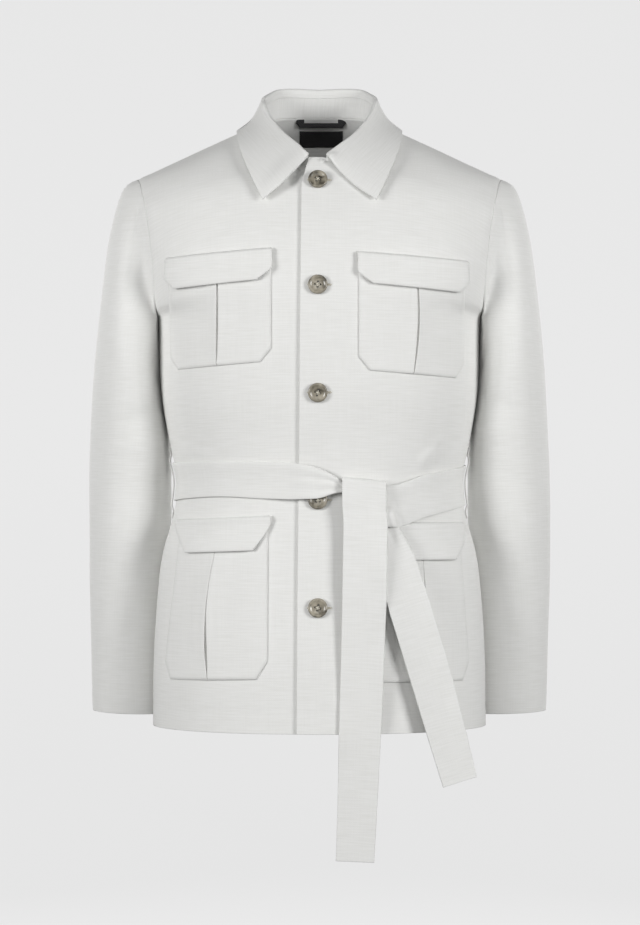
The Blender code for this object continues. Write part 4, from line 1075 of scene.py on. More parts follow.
    def waist_at(self, turn: np.ndarray, z: np.ndarray) -> tuple[np.ndarray, np.ndarray]:
        """Find the jacket's points and level normals round the waist.

        Args:
            turn: 0 at the centre front, 0.25 at the wearer's right seam, 0.5 at the back.
            z: Heights.

        Returns:
            The points and their normals.
        """
        row = np.interp(z, self.waist_heights, self.waist_rows)
        turn = turn % 1.0
        quarter = np.minimum((turn * 4).astype(int), 3)
        share = turn * 4 - quarter
        t = np.where((quarter == 0) | (quarter == 2), share, 1 - share)
        behind = ((quarter == 1) | (quarter == 2))[:, None, None]
        controls = np.where(
            behind, self.controls(self.back_table, row), self.controls(self.front_table, row)
        )
        points = bezier(controls, t)
        ahead = bezier(controls, np.minimum(t + 1e-3, 1))
        ahead = ahead - bezier(controls, np.maximum(t - 1e-3, 0))
        flat = unit(np.stack((ahead[:, 1], -ahead[:, 0], np.zeros(len(t))), -1))
        outward = np.sum(flat[:, :2] * points[:, :2], axis=1) < 0
        flat = np.where(outward[:, None], -flat, flat)
        mirror = np.stack((np.where(turn < 0.5, -1.0, 1.0), np.ones(len(t)), np.ones(len(t))), -1)
        return points * mirror, flat * mirror


# The body


@dataclass
class BodyPanels:
    """The back and the two fronts."""

    form: JacketForm
    finishes: Finishes
    # How far the left front laps past the centre above and below, and the right one under it.
    edge_top: float = 21.0
    edge_hem: float = 27.0
    underlap: float = 24.0
    neck_inset: float = 8.0
    edge_top_row: float = 11.0
    # How far the fronts' top edges are pulled up and back under the collar, and which way.
    raised_left: float = 6.5
    raised_right: float = 3.5
    raised_slope: float = 0.3
    raised_way: tuple = (0.0, 0.51, 0.86)
    # Where the right front is tucked in under the collar's point.
    tuck: Fold = Fold(((-16, -55), (-28, -67), (-44, -83)), 7.0, -7.0)
    seam_dip: float = 0.4
    hem_turn: float = 24.0

    def rows(self) -> np.ndarray:
        """Row numbers that lie evenly from the hem to the shoulder.

        Returns:
            The row numbers.
        """
        keys = np.linspace(0, self.form.top_row, 400)
        way = (lengths(self.form.front(keys, 0.5)) + lengths(self.form.front(keys, 1.0))) / 2
        return evenly(keys, way, LENGTH_STEP)

    def seam_relief(self, grid: np.ndarray) -> np.ndarray:
        """Press the cloth down beside its seams, and mark the turned-up hem.

        Args:
            grid: A panel's points, the seams at its last column and last row.

        Returns:
            The lift at each point.
        """
        side = np.linalg.norm(grid - grid[:, -1:], axis=-1)
        top = np.linalg.norm(grid - grid[-1:], axis=-1)
        low = grid[..., 2] - grid[:1, :, 2]
        dip = ridge(side, 0, SEAM_WIDTH) + ridge(top, 0, SEAM_WIDTH)
        allowance = ridge(side, 8, 4.5) + ridge(top, 8, 4.5)
        hem = HEM_LINE_DEPTH * ridge(low, self.hem_turn, HEM_LINE_WIDTH)
        return -self.seam_dip * dip + 0.3 * allowance - hem

    def panel(self, grid: np.ndarray, relief: np.ndarray, outward: tuple, start: object) -> Wall:
        """Make a wall from a panel's plain form.

        Args:
            grid: The panel's points.
            relief: How far each is lifted.
            outward: Which way the panel faces.
            start: Where the first column lies across the cloth.

        Returns:
            The wall.
        """
        normals = facing(grid_normals(grid), np.array(outward))
        outer = grid + normals * relief[..., None]
        normals = facing(grid_normals(outer), np.array(outward))
        # Averaged, so that a corner where the grid's lines crowd keeps its thickness.
        for _ in range(3):
            wide = np.pad(normals, ((1, 1), (1, 1), (0, 0)), mode="edge")
            normals = unit(wide[:-2, 1:-1] + wide[2:, 1:-1] + wide[1:-1, :-2] + wide[1:-1, 2:])
        return Wall(outer, outer - normals * CLOTH, grain_of(grid, start))

    def front_wall(self, side: Side) -> Wall:
        """Make one front.

        Args:
            side: Which front.

        Returns:
            Its wall.
        """
        form = self.form
        rows = self.rows()
        top, hem = (self.edge_top, self.edge_hem) if side is Side.LEFT else (self.underlap,) * 2
        reach = hem + (top - hem) * np.clip(rows / self.edge_top_row, 0, 1)
        reach = reach - self.neck_inset * soft_step((rows - 10.2) / 0.8)
        past = np.where(rows <= self.edge_top_row, form.share_at(rows, reach), 0.0)
        keys = np.linspace(0, 1, 200)
        shares = evenly(keys, lengths(form.front(np.full(200, 5.0), keys)), LENGTH_STEP)
        t = shares[None, :] * (1 + past[:, None]) - past[:, None]
        grid = form.front(rows[:, None] + 0 * t, t).reshape(*t.shape, 3)
        start = grid[:, 0, 0].copy()
        slope = self.raised_slope * np.maximum(-grid[..., 0], 0)
        raised = self.raised_left + slope if side is Side.LEFT else self.raised_right + 0 * slope
        raised = raised * soft_step((18.0 - grid[..., 0]) / 16.0)
        raised = raised * soft_step((grid[..., 2] + 71 + slope) / 14)
        grid = grid + raised[..., None] * np.array(self.raised_way)
        mirrored = grid * (side.value, 1, 1)
        relief = form.front_relief(mirrored[..., 0], mirrored[..., 2]) + self.seam_relief(grid)
        if side is Side.RIGHT:
            relief = relief - form.lap_drop(grid[..., 0])
            relief = relief + self.tuck.relief(mirrored[..., 0], mirrored[..., 2])
        else:
            edge = np.linalg.norm(grid - grid[:, :1], axis=-1)
            relief = relief + 0.35 * ridge(edge, 0, 5.0)
        return self.panel(grid, relief, (0.2, -1.0, 0.1), start).on_side(side)

    def back_wall(self) -> Wall:
        """Make the whole back.

        Returns:
            Its wall.
        """
        form = self.form
        rows = self.rows()
        keys = np.linspace(0, 1, 200)
        shares = evenly(keys, lengths(form.back(np.full(200, 6.0), keys)), LENGTH_STEP + 0.6)
        t = np.broadcast_to(shares[None, :], (len(rows), len(shares)))
        half = form.back(rows[:, None] + 0 * t, t).reshape(*t.shape, 3)
        seams = self.seam_relief(half)
        grid = np.concatenate((half[:, :0:-1] * (-1, 1, 1), half), axis=1)
        seams = np.concatenate((seams[:, :0:-1], seams), axis=1)
        relief = form.back_relief(grid[..., 0], grid[..., 2]) + seams
        return self.panel(grid, relief, (0.0, 1.0, 0.1), -grid[:, -1, 0])

    def build(self, under: Underlay) -> tuple[Wall, Wall, Wall]:
        """Build and dress the back and both fronts.

        Args:
            under: Where they are laid down.

        Returns:
            The back, the left front and the right front.
        """
        walls = (self.back_wall(), self.front_wall(Side.LEFT), self.front_wall(Side.RIGHT))
        names = ("back", "front_left", "front_right")
        cuts = ((0.56, 0.78, 0.355), (0.29, 0.76, 0.188), (0.29, 0.76, 0.188))
        for name, wall, (width, length, area) in zip(names, walls, cuts):
            self.finishes.sheet(wall, name, (width, length), Held.WORN, area=area)
        under.lay(*walls)
        return walls


@dataclass
class Sleeves:
    """Both sleeves, from the armhole down to the cuff."""

    form: JacketForm
    finishes: Finishes
    # Columns: the outer end's x and z, the inner end's x, y and z, the middle's y, half the depth,
    # and how far the ring keeps the armhole's own shape.
    rings: tuple = (
        (222, -69, 195.0, 0, -252, 6, 65, 1.00),
        (237, -77, 195.4, 3, -257, 10, 66, 0.90),
        (245, -92, 195.5, 8, -264, 11, 68, 0.72),
        (252, -116, 194.9, 14, -274, 12, 71, 0.50),
        (259, -150, 194.2, 19, -288, 13, 73, 0.28),
        (266, -203, 193.1, 23, -308, 15, 74, 0.10),
        (272, -256, 190.2, 27, -342, 18, 72, 0.00),
        (277, -312, 184.6, 31, -384, 22, 67, 0.00),
        (281, -368, 183.2, 34, -428, 27, 62, 0.00),
        (283.7, -427, 183.2, 37, -470, 32, 58, 0.00),
        (284.5, -487, 184.5, 41, -515, 37, 55, 0.00),
        (284.5, -546, 186.0, 45, -562, 43, 52, 0.00),
        (284, -602, 187.0, 50, -612, 49, 50, 0.00),
        (283.2, -655, 187.0, 55, -660, 55, 48, 0.00),
        (282.6, -695, 186.0, 59, -697, 59, 47, 0.00),
        (282, -722, 185.0, 62, -725, 62, 46, 0.00),
    )
    around: int = 96
    hem_turn: float = 30.0
    swell_mm: float = 0.9
    folds: tuple = (
        Fold(((20, -330), (70, -352), (120, -360)), 9.0, -1.4),
        Fold(((10, -372), (60, -386), (130, -392)), 10.0, 1.2),
        Fold(((260, -340), (310, -362), (350, -372)), 10.0, -1.4),
        Fold(((250, -420), (300, -400), (345, -398)), 11.0, 1.1),
        Fold(((15, -440), (60, -430), (110, -446)), 12.0, -1.0),
        Fold(((150, -250), (120, -330), (128, -420)), 16.0, 0.8),
        Fold(((40, -280), (30, -300), (10, -322)), 8.0, -1.2),
        Fold(((60, -520), (90, -560), (80, -620)), 14.0, -0.7),
        Fold(((220, -500), (240, -580), (230, -660)), 16.0, 0.8),
    )

    def grid(self) -> np.ndarray:
        """Find a left sleeve's plain form.

        Returns:
            Rings of points from the armhole down.
        """
        half = self.around // 2
        index = np.linspace(0, len(ARMHOLE_ROWS) - 1, half + 1)
        rows = np.interp(index, np.arange(len(ARMHOLE_ROWS)), ARMHOLE_ROWS)
        front = self.form.front(rows, np.ones(half + 1))
        back = self.form.back(rows[::-1], np.ones(half + 1))
        armhole = np.concatenate((front, back[1:-1]))
        table = np.array([(k, *row) for k, row in enumerate(self.rings)], float)
        keys = np.linspace(0, len(self.rings) - 1, 400)
        values = spline_rows(table, keys)
        middle_x, middle_z = values[:, [0, 2]].sum(axis=1) / 2, values[:, [1, 4]].sum(axis=1) / 2
        way = lengths(np.column_stack((middle_x, middle_z)))
        values = spline_rows(table, evenly(keys, way, LENGTH_STEP))
        angle = np.pi * (1 - np.arange(self.around) / half)
        share = (1 - np.cos(angle)) / 2
        rings = []
        for outer_x, outer_z, inner_x, inner_y, inner_z, middle, depth, blend in values:
            outer = np.array((outer_x, middle, outer_z))
            inner = np.array((inner_x, inner_y, inner_z))
            centre, across = (outer + inner) / 2, (outer - inner) / 2
            swing = np.abs(np.sin(angle)) * (middle - centre[1]) - np.sin(angle) * depth
            ring = centre + across * np.cos(angle)[:, None]
            ring[:, 1] += swing
            own = armhole + np.outer(1 - share, outer - armhole[half])
            own = own + np.outer(share, inner - armhole[0])
            rings.append(ring * (1 - blend) + own * blend)
        return np.array(rings)

    def build(self) -> None:
        """Build and dress both sleeves."""
        plain = self.grid()
        outward = plain - plain.mean(axis=1, keepdims=True)
        height = plain[..., 2]
        turn = np.linspace(0, 360, self.around, endpoint=False)[None, :] + 0 * height
        seam = np.linalg.norm(plain - plain[:1], axis=-1)
        grain = grain_of(plain)
        grain[..., 1] = height
        for side in Side:
            relief = self.swell_mm * slack(turn, height, 1.0 + side.value)
            relief = relief + folded(self.folds, turn, height - 8 * side.value)
            # The folds fade out towards the seam, and its allowance shows below it.
            relief = relief * soft_step(seam / 40) - 0.3 * ridge(seam, 0, SEAM_WIDTH)
            relief = relief + 0.5 * ridge(seam, 9, 6)
            low = height - height[-1:]
            relief = relief - HEM_LINE_DEPTH * ridge(low, self.hem_turn, HEM_LINE_WIDTH)
            normals = facing(grid_normals(plain, True), outward)
            outer = plain + normals * relief[..., None]
            normals = facing(grid_normals(outer, True), outward)
            wall = Wall(outer, outer - normals * CLOTH, grain, closed=True).on_side(side)
            name = "sleeve_" + side.name.lower()
            self.finishes.sheet(wall, name, (0.4, 0.67), Held.WORN, area=0.195)


# The collar


@dataclass
class Collar:
    """The stand round the neck, and the collar that rolls over it and falls to its points."""

    form: JacketForm
    finishes: Finishes
    # Columns: share round the neck seam from the centre back, the roll's x, y and z, the rim's x,
    # y and z, and the fall's bulge and bow.
    sections: tuple = (
        (0.000, 0, 62, 48, 0, 88, -6, 1.0, 0),
        (0.240, 46, 50, 47, 60, 78, -9, 0.0, 0),
        (0.370, 60, 31, 38, 87, 46, -10, -3.0, 0),
        (0.475, 65.5, 12, 28, 101, 6, -9.2, -4.5, 0),
        (0.560, 60.5, -2, 10.5, 100, -22, -22, -3.0, 0),
        (0.660, 52, -17, -6, 94, -50, -43, -1.0, 0),
        (0.787, 38, -36, -23.5, 84, -74, -68, 1.0, 1),
        (0.920, 19, -53.5, -39.5, 73, -91, -92, 2.0, 3),
        (1.000, 8, -61.5, -47.5, 67, -97, -103.5, 3.0, 8),
    )
    end_left: float = 7.0
    end_right: float = 13.0
    right_shift: tuple = (4.8, 0.0, 1.5)
    roll_radius: float = 3.2
    stand_below: float = 10.0
    roll_angles: tuple = tuple(range(0, 181, 20))
    # Where the stand's lines lie up it, and the collar's own where it starts from the stand.
    stand_shares: tuple = (0, 0.03, 0.2, 0.4, 0.6, 0.8, 0.97, 1)
    base_heights: tuple = (0.0, 0.4, 3.5)
    # How far the right leaf's end stands off, over the placket's edge.
    leaf_lift: float = 5.0
    fall_steps: int = 22

    def chain(self) -> tuple[np.ndarray, np.ndarray]:
        """Find the neck seam's outer and inner edges, from the left front round the back.

        Returns:
            The two lines of points.
        """
        share = np.linspace(0, 1, 60)
        row = self.form.neck_row + share * (self.form.top_row - self.form.neck_row)
        front = spline_rows(FRONT_NECKLINE, share)
        step = self.form.front(row, np.full(60, 0.02)) - self.form.front(row, np.zeros(60))
        along = np.gradient(front, axis=0)
        normal = each_facing(unit(np.cross(step, along)), (0.1, -1, 0.6))
        back = spline_rows(BACK_NECKLINE, share)
        lower = self.form.back(np.full(60, 12.9), share * self.form.back_neck_share)
        behind = each_facing(unit(np.cross(back - lower, np.gradient(back, axis=0))), (0, 1, 0.6))
        # The last twelve of each turn towards the other's, to meet at the shoulder seam.
        for k in range(12):
            mix, i = (k + 1) / 13 * 0.5, k - 12
            a, b = normal[i].copy(), behind[i].copy()
            normal[i] = unit(a * (1 - mix) + b * mix)
            behind[i] = unit(b * (1 - mix) + a * mix)
        on_left, on_right = front[:, 0] > self.end_left, front[:, 0] > self.end_right
        left, left_normal = front[on_left], normal[on_left]
        right, right_normal = front[on_right], normal[on_right]
        drop = self.form.lap_drop(right[:, 0])[:, None]
        mirror = np.array((-1, 1, 1))
        right = right - right_normal * drop
        outer = np.concatenate(
            (left[::2], back[-2::-2], back[1::2] * mirror, (right * mirror)[::-2])
        )
        normals = np.concatenate(
            (left_normal[::2], behind[-2::-2], behind[1::2] * mirror, (right_normal * mirror)[::-2])
        )
        return outer, outer - normals * CLOTH

    def guides(self, share: float, side: Side) -> tuple:
        """Read the collar's sections.

        Args:
            share: How far round the neck seam from the centre back.
            side: Which half of the collar.

        Returns:
            The roll's top, the rim, the bulge and the bow.
        """
        values = spline_rows(self.sections, np.array([share]))[0]
        roll, edge = values[0:3].copy(), values[3:6].copy()
        if side is Side.RIGHT:
            roll += np.array(self.right_shift) * soft_step((share - 0.86) / 0.14)
        lift = self.leaf_lift * soft_step((share - 0.84) / 0.16) if side is Side.RIGHT else 0.0
        mirror = (side.value, 1, 1)
        return roll * mirror, edge * mirror, values[6] + lift, values[7]

    def fall(
        self, start: np.ndarray, down: np.ndarray, mid: np.ndarray, edge: np.ndarray
    ) -> np.ndarray:
        """Draw the fall's line from the roll to the rim.

        Args:
            start: The roll's outer side.
            down: The way that the cloth runs there.
            mid: The fall's middle.
            edge: The rim.

        Returns:
            The points after the start.
        """
        guides = np.array((start - down, start, mid, edge))
        length = np.linalg.norm(mid - start) + np.linalg.norm(edge - mid)
        shares = np.linspace(0, 1, self.fall_steps + 1)[1:]
        shares = np.concatenate((shares[:-1], [1 - RIM / length, 1.0]))
        points = []
        for at in 1 + 2 * shares:
            i = min(int(at), 2)
            s = at - i
            before, after = guides[max(i - 1, 0)], guides[min(i + 2, 3)]
            blend = s * s * (3 - 2 * s)
            points.append(
                guides[i] * (1 - blend)
                + guides[i + 1] * blend
                + (guides[i + 1] - before) / 2 * s * (1 - s) ** 2
                - (after - guides[i]) / 2 * s * s * (1 - s)
            )
        return np.array(points)

    def build(self, under: Underlay) -> None:
        """Build and dress the stand and the collar.

        Args:
            under: What the fall lies on, and where it is laid down.
        """
        outer_seam, inner_seam = self.chain()
        way = lengths(outer_seam)
        middle = int(np.argmin(np.abs(outer_seam[:, 0]) - 1000.0 * (outer_seam[:, 1] > 60)))
        stand_outer, stand_inner, face, below = [], [], [], []
        for k, seam in enumerate(outer_seam):
            side = Side.LEFT if k <= middle else Side.RIGHT
            half = way[middle] if side is Side.LEFT else way[-1] - way[middle]
            roll, edge, bulge, bow = self.guides(abs(way[k] - way[middle]) / half, side)
            before, after = outer_seam[max(k - 1, 0)], outer_seam[min(k + 1, len(way) - 1)]
            tangent = unit(after - before)
            across = unit(np.cross(tangent, seam - inner_seam[k]))
            across = -across if across[2] < 0 else across
            low_outer, low_inner = seam + across * 0.3, inner_seam[k] + across * 0.3
            rise = roll - low_inner
            height = float(np.linalg.norm(rise))
            up = rise / height
            outward = unit(np.cross(tangent, up))
            if np.dot(outward, (seam[0], seam[1], 0.0)) < 0:
                outward = -outward
            join = roll - up * min(self.stand_below, height * 0.5)
            top_inner = join - up * 0.12
            shares = np.array(self.stand_shares)[:, None]
            stand_outer.append(low_outer * (1 - shares) + (top_inner + outward * CLOTH) * shares)
            stand_inner.append(low_inner * (1 - shares) + top_inner * shares)
            radius = self.roll_radius
            centre = roll - up * radius * 0.6 + outward * radius
            turn = np.radians(self.roll_angles)[:, None]
            arm = up * np.sin(turn) - outward * np.cos(turn)
            over = centre + arm * radius
            start = over[-1]
            swell = unit(np.cross(tangent, edge - start))
            swell = -swell if np.dot(swell, outward) < 0 else swell
            mid = (start + edge) / 2 + swell * bulge - np.array((0.0, 0.0, bow))
            fall = self.fall(start, -up * 8.0, mid, edge)
            base = join + up * np.array(self.base_heights)[:, None]
            face.append(np.concatenate((base, over, fall)))
            under_roll = centre + arm * (radius - CLOTH)
            below.append(np.concatenate((base + outward * CLOTH, under_roll, fall)))
        outer, inner = np.array(face), np.array(below)
        rolled = len(self.base_heights) + len(self.roll_angles)
        normals = grid_normals(outer)
        thick = outer[:, :rolled] - inner[:, :rolled]
        normals = normals if np.sum(normals[:, :rolled] * thick) > 0 else -normals
        inner[:, rolled:] = outer[:, rolled:] - normals[:, rolled:] * CLOTH
        free = np.zeros(outer.shape[:2], bool)
        free[:, rolled:] = True
        wall = under.settle(Wall(outer, inner, grain_of(outer)[..., ::-1]), LAY_GAP, free)
        on_stand = ("collar_stand_cloth",)
        self.finishes.sheet(wall, "collar", (0.47, 0.11), Held.FOLDED, on_stand, 0.038)
        stand_face = np.array(stand_outer)
        stand = Wall(stand_face, np.array(stand_inner), grain_of(stand_face))
        self.finishes.sheet(stand, "collar_stand", (0.43, 0.03), Held.SEWN_DOWN, area=0.0078)
        under.lay(wall)


# Pockets and flaps


@dataclass
class Patch:
    """A piece of cloth sewn on a front, between an inner and an outer edge."""

    name: str
    side: Side
    inner: float
    outer: float

    def build(self, form: JacketForm, finishes: Finishes, under: Underlay) -> None:
        """Build and dress the patch, which has its own wall, flat size and ground.

        Args:
            form: The jacket's form.
            finishes: The finishes.
            under: What it lies on, and where it is laid down.
        """
        wall = under.settle(self.wall(form), self.clear, rounds=self.rounds)
        finishes.sheet(wall, self.name, self.flat(), Held.SEWN_DOWN, (self.lies_on(),))
        under.lay(wall)


@dataclass
class PatchPocket(Patch):
    """A patch pocket whose two halves meet at an open pleat down its middle."""

    outer_end: float
    top: float
    fall: float
    height: float
    slit: float
    slit_end: float
    sway: float
    # Columns: share of the way down, and about half the width that the pleat opens by.
    gape: tuple = ((0.0, 0.9), (0.3, 1.4), (0.6, 1.7), (0.85, 1.3), (1.0, 0.6))
    corner: float = 13.0
    stand: float = 2.7
    pleat_lift: float = 2.4
    pleat_width: float = 11.0
    clear: float = 0.25
    rounds: int = 3

    def wall(self, form: JacketForm) -> Wall:
        """Make the pocket on its front.

        Args:
            form: The jacket's form.

        Returns:
            The pocket's wall.
        """
        rim = RIM / self.height
        down = np.concatenate(([0, rim], np.linspace(0, 1, 46)[1:-1], [1 - 3 * rim, 1 - rim, 1]))
        down = np.sort(down)[:, None]
        cut = self.corner * np.clip((down - 0.88) / 0.12, 0, 1)
        near = self.inner + cut
        far = self.outer + (self.outer_end - self.outer) * down - cut * 0.7
        middle = self.slit + (self.slit_end - self.slit) * down + self.sway * np.sin(np.pi * down)
        open_width = spline_rows(self.gape, down[:, 0])
        # The grid's lines beside the slit. Those up to the lip move with its width.
        offsets = np.array((0.0, 0.45, 0.75, 1.0, 1.3, 1.8, 2.6, 4.0, 6.0, 8.5, 11.0, 15.0))
        lip = offsets[4]
        sign = np.concatenate((-np.ones(11), [0], np.ones(11)))[None, :]
        beside = np.concatenate((offsets[:0:-1], offsets))[None, :]
        wide = np.where(beside <= lip, beside * open_width, beside - lip + lip * open_width)
        scaled = sign * wide
        shares = np.concatenate(([0, 0.9, 2.2], np.linspace(5.0, 100.0, 12)[:-1])) / 100.0
        left_x = near + (middle + scaled[:, :1] - near) * shares
        right_x = far - (far - middle - scaled[:, -1:]) * shares[::-1]
        x = np.concatenate((left_x, middle + scaled, right_x), axis=1)
        # The pleat's lips nearly meet over a wider hollow, which keeps the slit dark.
        lean = np.interp(beside, (*offsets[:5], 4.0), (0, 0.35, 0.55, -0.3, -0.6, 0))
        lips = middle + scaled + sign * lean * open_width
        lipped = np.concatenate((left_x, lips, right_x), axis=1)
        z = self.top - self.fall * (x - self.inner) / (self.outer - self.inner) - self.height * down
        away = np.abs(x - middle)
        lift = self.pleat_lift * np.sin(np.pi * (0.08 + 0.84 * down))
        near_slit = 1 - 0.6 * soft_step(away / self.pleat_width)
        further = 0.4 * (1 - soft_step((away - self.pleat_width) / self.pleat_width))
        stand = self.stand + lift * np.where(away < self.pleat_width, near_slit, further)
        valley = 1 - soft_step((away - open_width * 0.7) / (open_width * 0.4))
        stand = stand - (stand - 0.6) * valley
        rims = np.minimum(np.minimum(x - near, far - x), self.height * np.minimum(down, 1 - down))
        stand = stand - 1.4 * (1 - soft_step(rims / RIM_ROUND)) + 0.35 * ridge(rims, 5, 3)
        stand = stand + 0.3 * slack(x * 1.6, z * 1.6, self.inner)
        face = form.on_front(self.side, lipped, z, stand)
        back = form.on_front(self.side, x, z, np.full_like(x, LAY_GAP * 0.5))
        return Wall(face, back, np.stack((x * self.side.value, z), -1))

    def lies_on(self) -> str:
        """The front that the pocket lies on."""
        return "front_" + self.side.name.lower() + "_cloth"

    def flat(self) -> tuple[float, float]:
        """Its size as cut, wider by what shows of the pleat, and longer by the pleat's rise."""
        return (self.outer_end - self.inner) * MM * 1.22, self.height * MM * 1.05


@dataclass
class PocketFlap(Patch):
    """A pocket flap, sewn along its top, rolled over there and standing off below."""

    top: float
    fall: float
    height: float
    corner_width: float
    corner_height: float
    waves: float = 1.0
    clear: float = 0.3
    rounds: int = 6
    # Columns: share of the way down, and how far off the front the back and the face stand.
    section: tuple = (
        (0.00, 0.3, 2.4),
        (0.05, 0.5, 5.2),
        (0.11, 1.5, 6.4),
        (0.20, 2.3, 5.5),
        (0.45, 3.6, 6.0),
        (0.68, 5.0, 7.4),
        (0.86, 6.0, 8.4),
        (1.00, 6.8, 9.0),
    )

    def wall(self, form: JacketForm) -> Wall:
        """Make the flap over its pocket.

        Args:
            form: The jacket's form.

        Returns:
            The flap's wall.
        """
        rim = RIM / self.height
        down = np.concatenate(([0, rim], np.linspace(0, 1, 26)[1:-1], [1 - rim, 1]))
        down = np.sort(down)[:, None]
        start = 1 - self.corner_height / self.height
        cut = np.clip((down - start) / (1 - start), 0, 1) ** 1.3
        near = self.inner + self.corner_width * cut
        far = self.outer - self.corner_width * cut * 0.7
        share = np.concatenate(([0, 0.007, 0.02], np.linspace(0.04, 0.96, 40), [0.98, 0.993, 1]))
        x = near + (far - near) * share[None, :]
        z = self.top - self.fall * (x - self.inner) / (self.outer - self.inner) - self.height * down
        stands = spline_rows(self.section, down[:, 0])
        back, face = stands[:, :1] + 0 * x, stands[:, 1:] + 0 * x
        wave = self.waves * np.sin(x / 17 + self.inner) * soft_step((down - 0.3) / 0.7)
        rims = np.minimum(np.minimum(x - near, far - x), self.height * (1 - down))
        thin = 0.8 * (1 - soft_step(rims / RIM_ROUND))
        face = face + 0.35 * wave - thin + 0.3 * ridge(rims, 5, 3)
        back = np.minimum(back + 0.35 * wave, face - 1.0)
        walls = (form.on_front(self.side, x, z, stand) for stand in (face, back))
        return Wall(*walls, np.stack((x * self.side.value, z), -1))

    def lies_on(self) -> str:
        """The pocket that the flap lies on."""
        return self.name.replace("flap", "pocket") + "_cloth"

    def flat(self) -> tuple[float, float]:
        """Its size as cut, with what is turned into its top seam."""
        return (self.outer - self.inner) * MM * 1.15, self.height * MM * 1.15


# The hip pockets' pleats are pressed shut above, and spring open lower down.
HIP_GAPE = ((0.0, 0.3), (0.25, 0.3), (0.5, 0.6), (0.66, 1.5), (0.8, 2.1), (0.92, 1.2), (1.0, 0.4))
POCKETS = (
    PatchPocket("chest_pocket_right", Side.RIGHT, 57, 179, 177, -172, 9, 124, 120.5, 120.5, -1.5),
    PatchPocket("chest_pocket_left", Side.LEFT, 46, 173, 171, -177, 9, 129, 113, 110, 4),
    PatchPocket("hip_pocket_right", Side.RIGHT, 61, 166, 186, -491, 4, 178, 116, 131, 8, HIP_GAPE),
    PatchPocket("hip_pocket_left", Side.LEFT, 54, 167, 179, -493, 1, 180, 117, 125, 3, HIP_GAPE),
)
FLAPS = (
    PocketFlap("chest_flap_right", Side.RIGHT, 55.5, 181, -162.5, 9.5, 37, 18, 14),
    PocketFlap("chest_flap_left", Side.LEFT, 44.5, 175, -167, 9, 37, 18, 14),
    PocketFlap("hip_flap_right", Side.RIGHT, 56.5, 170, -477.5, 6, 41, 21, 33),
    PocketFlap("hip_flap_left", Side.LEFT, 50, 171, -485, 2, 45, 19, 26),
)


# Buttons


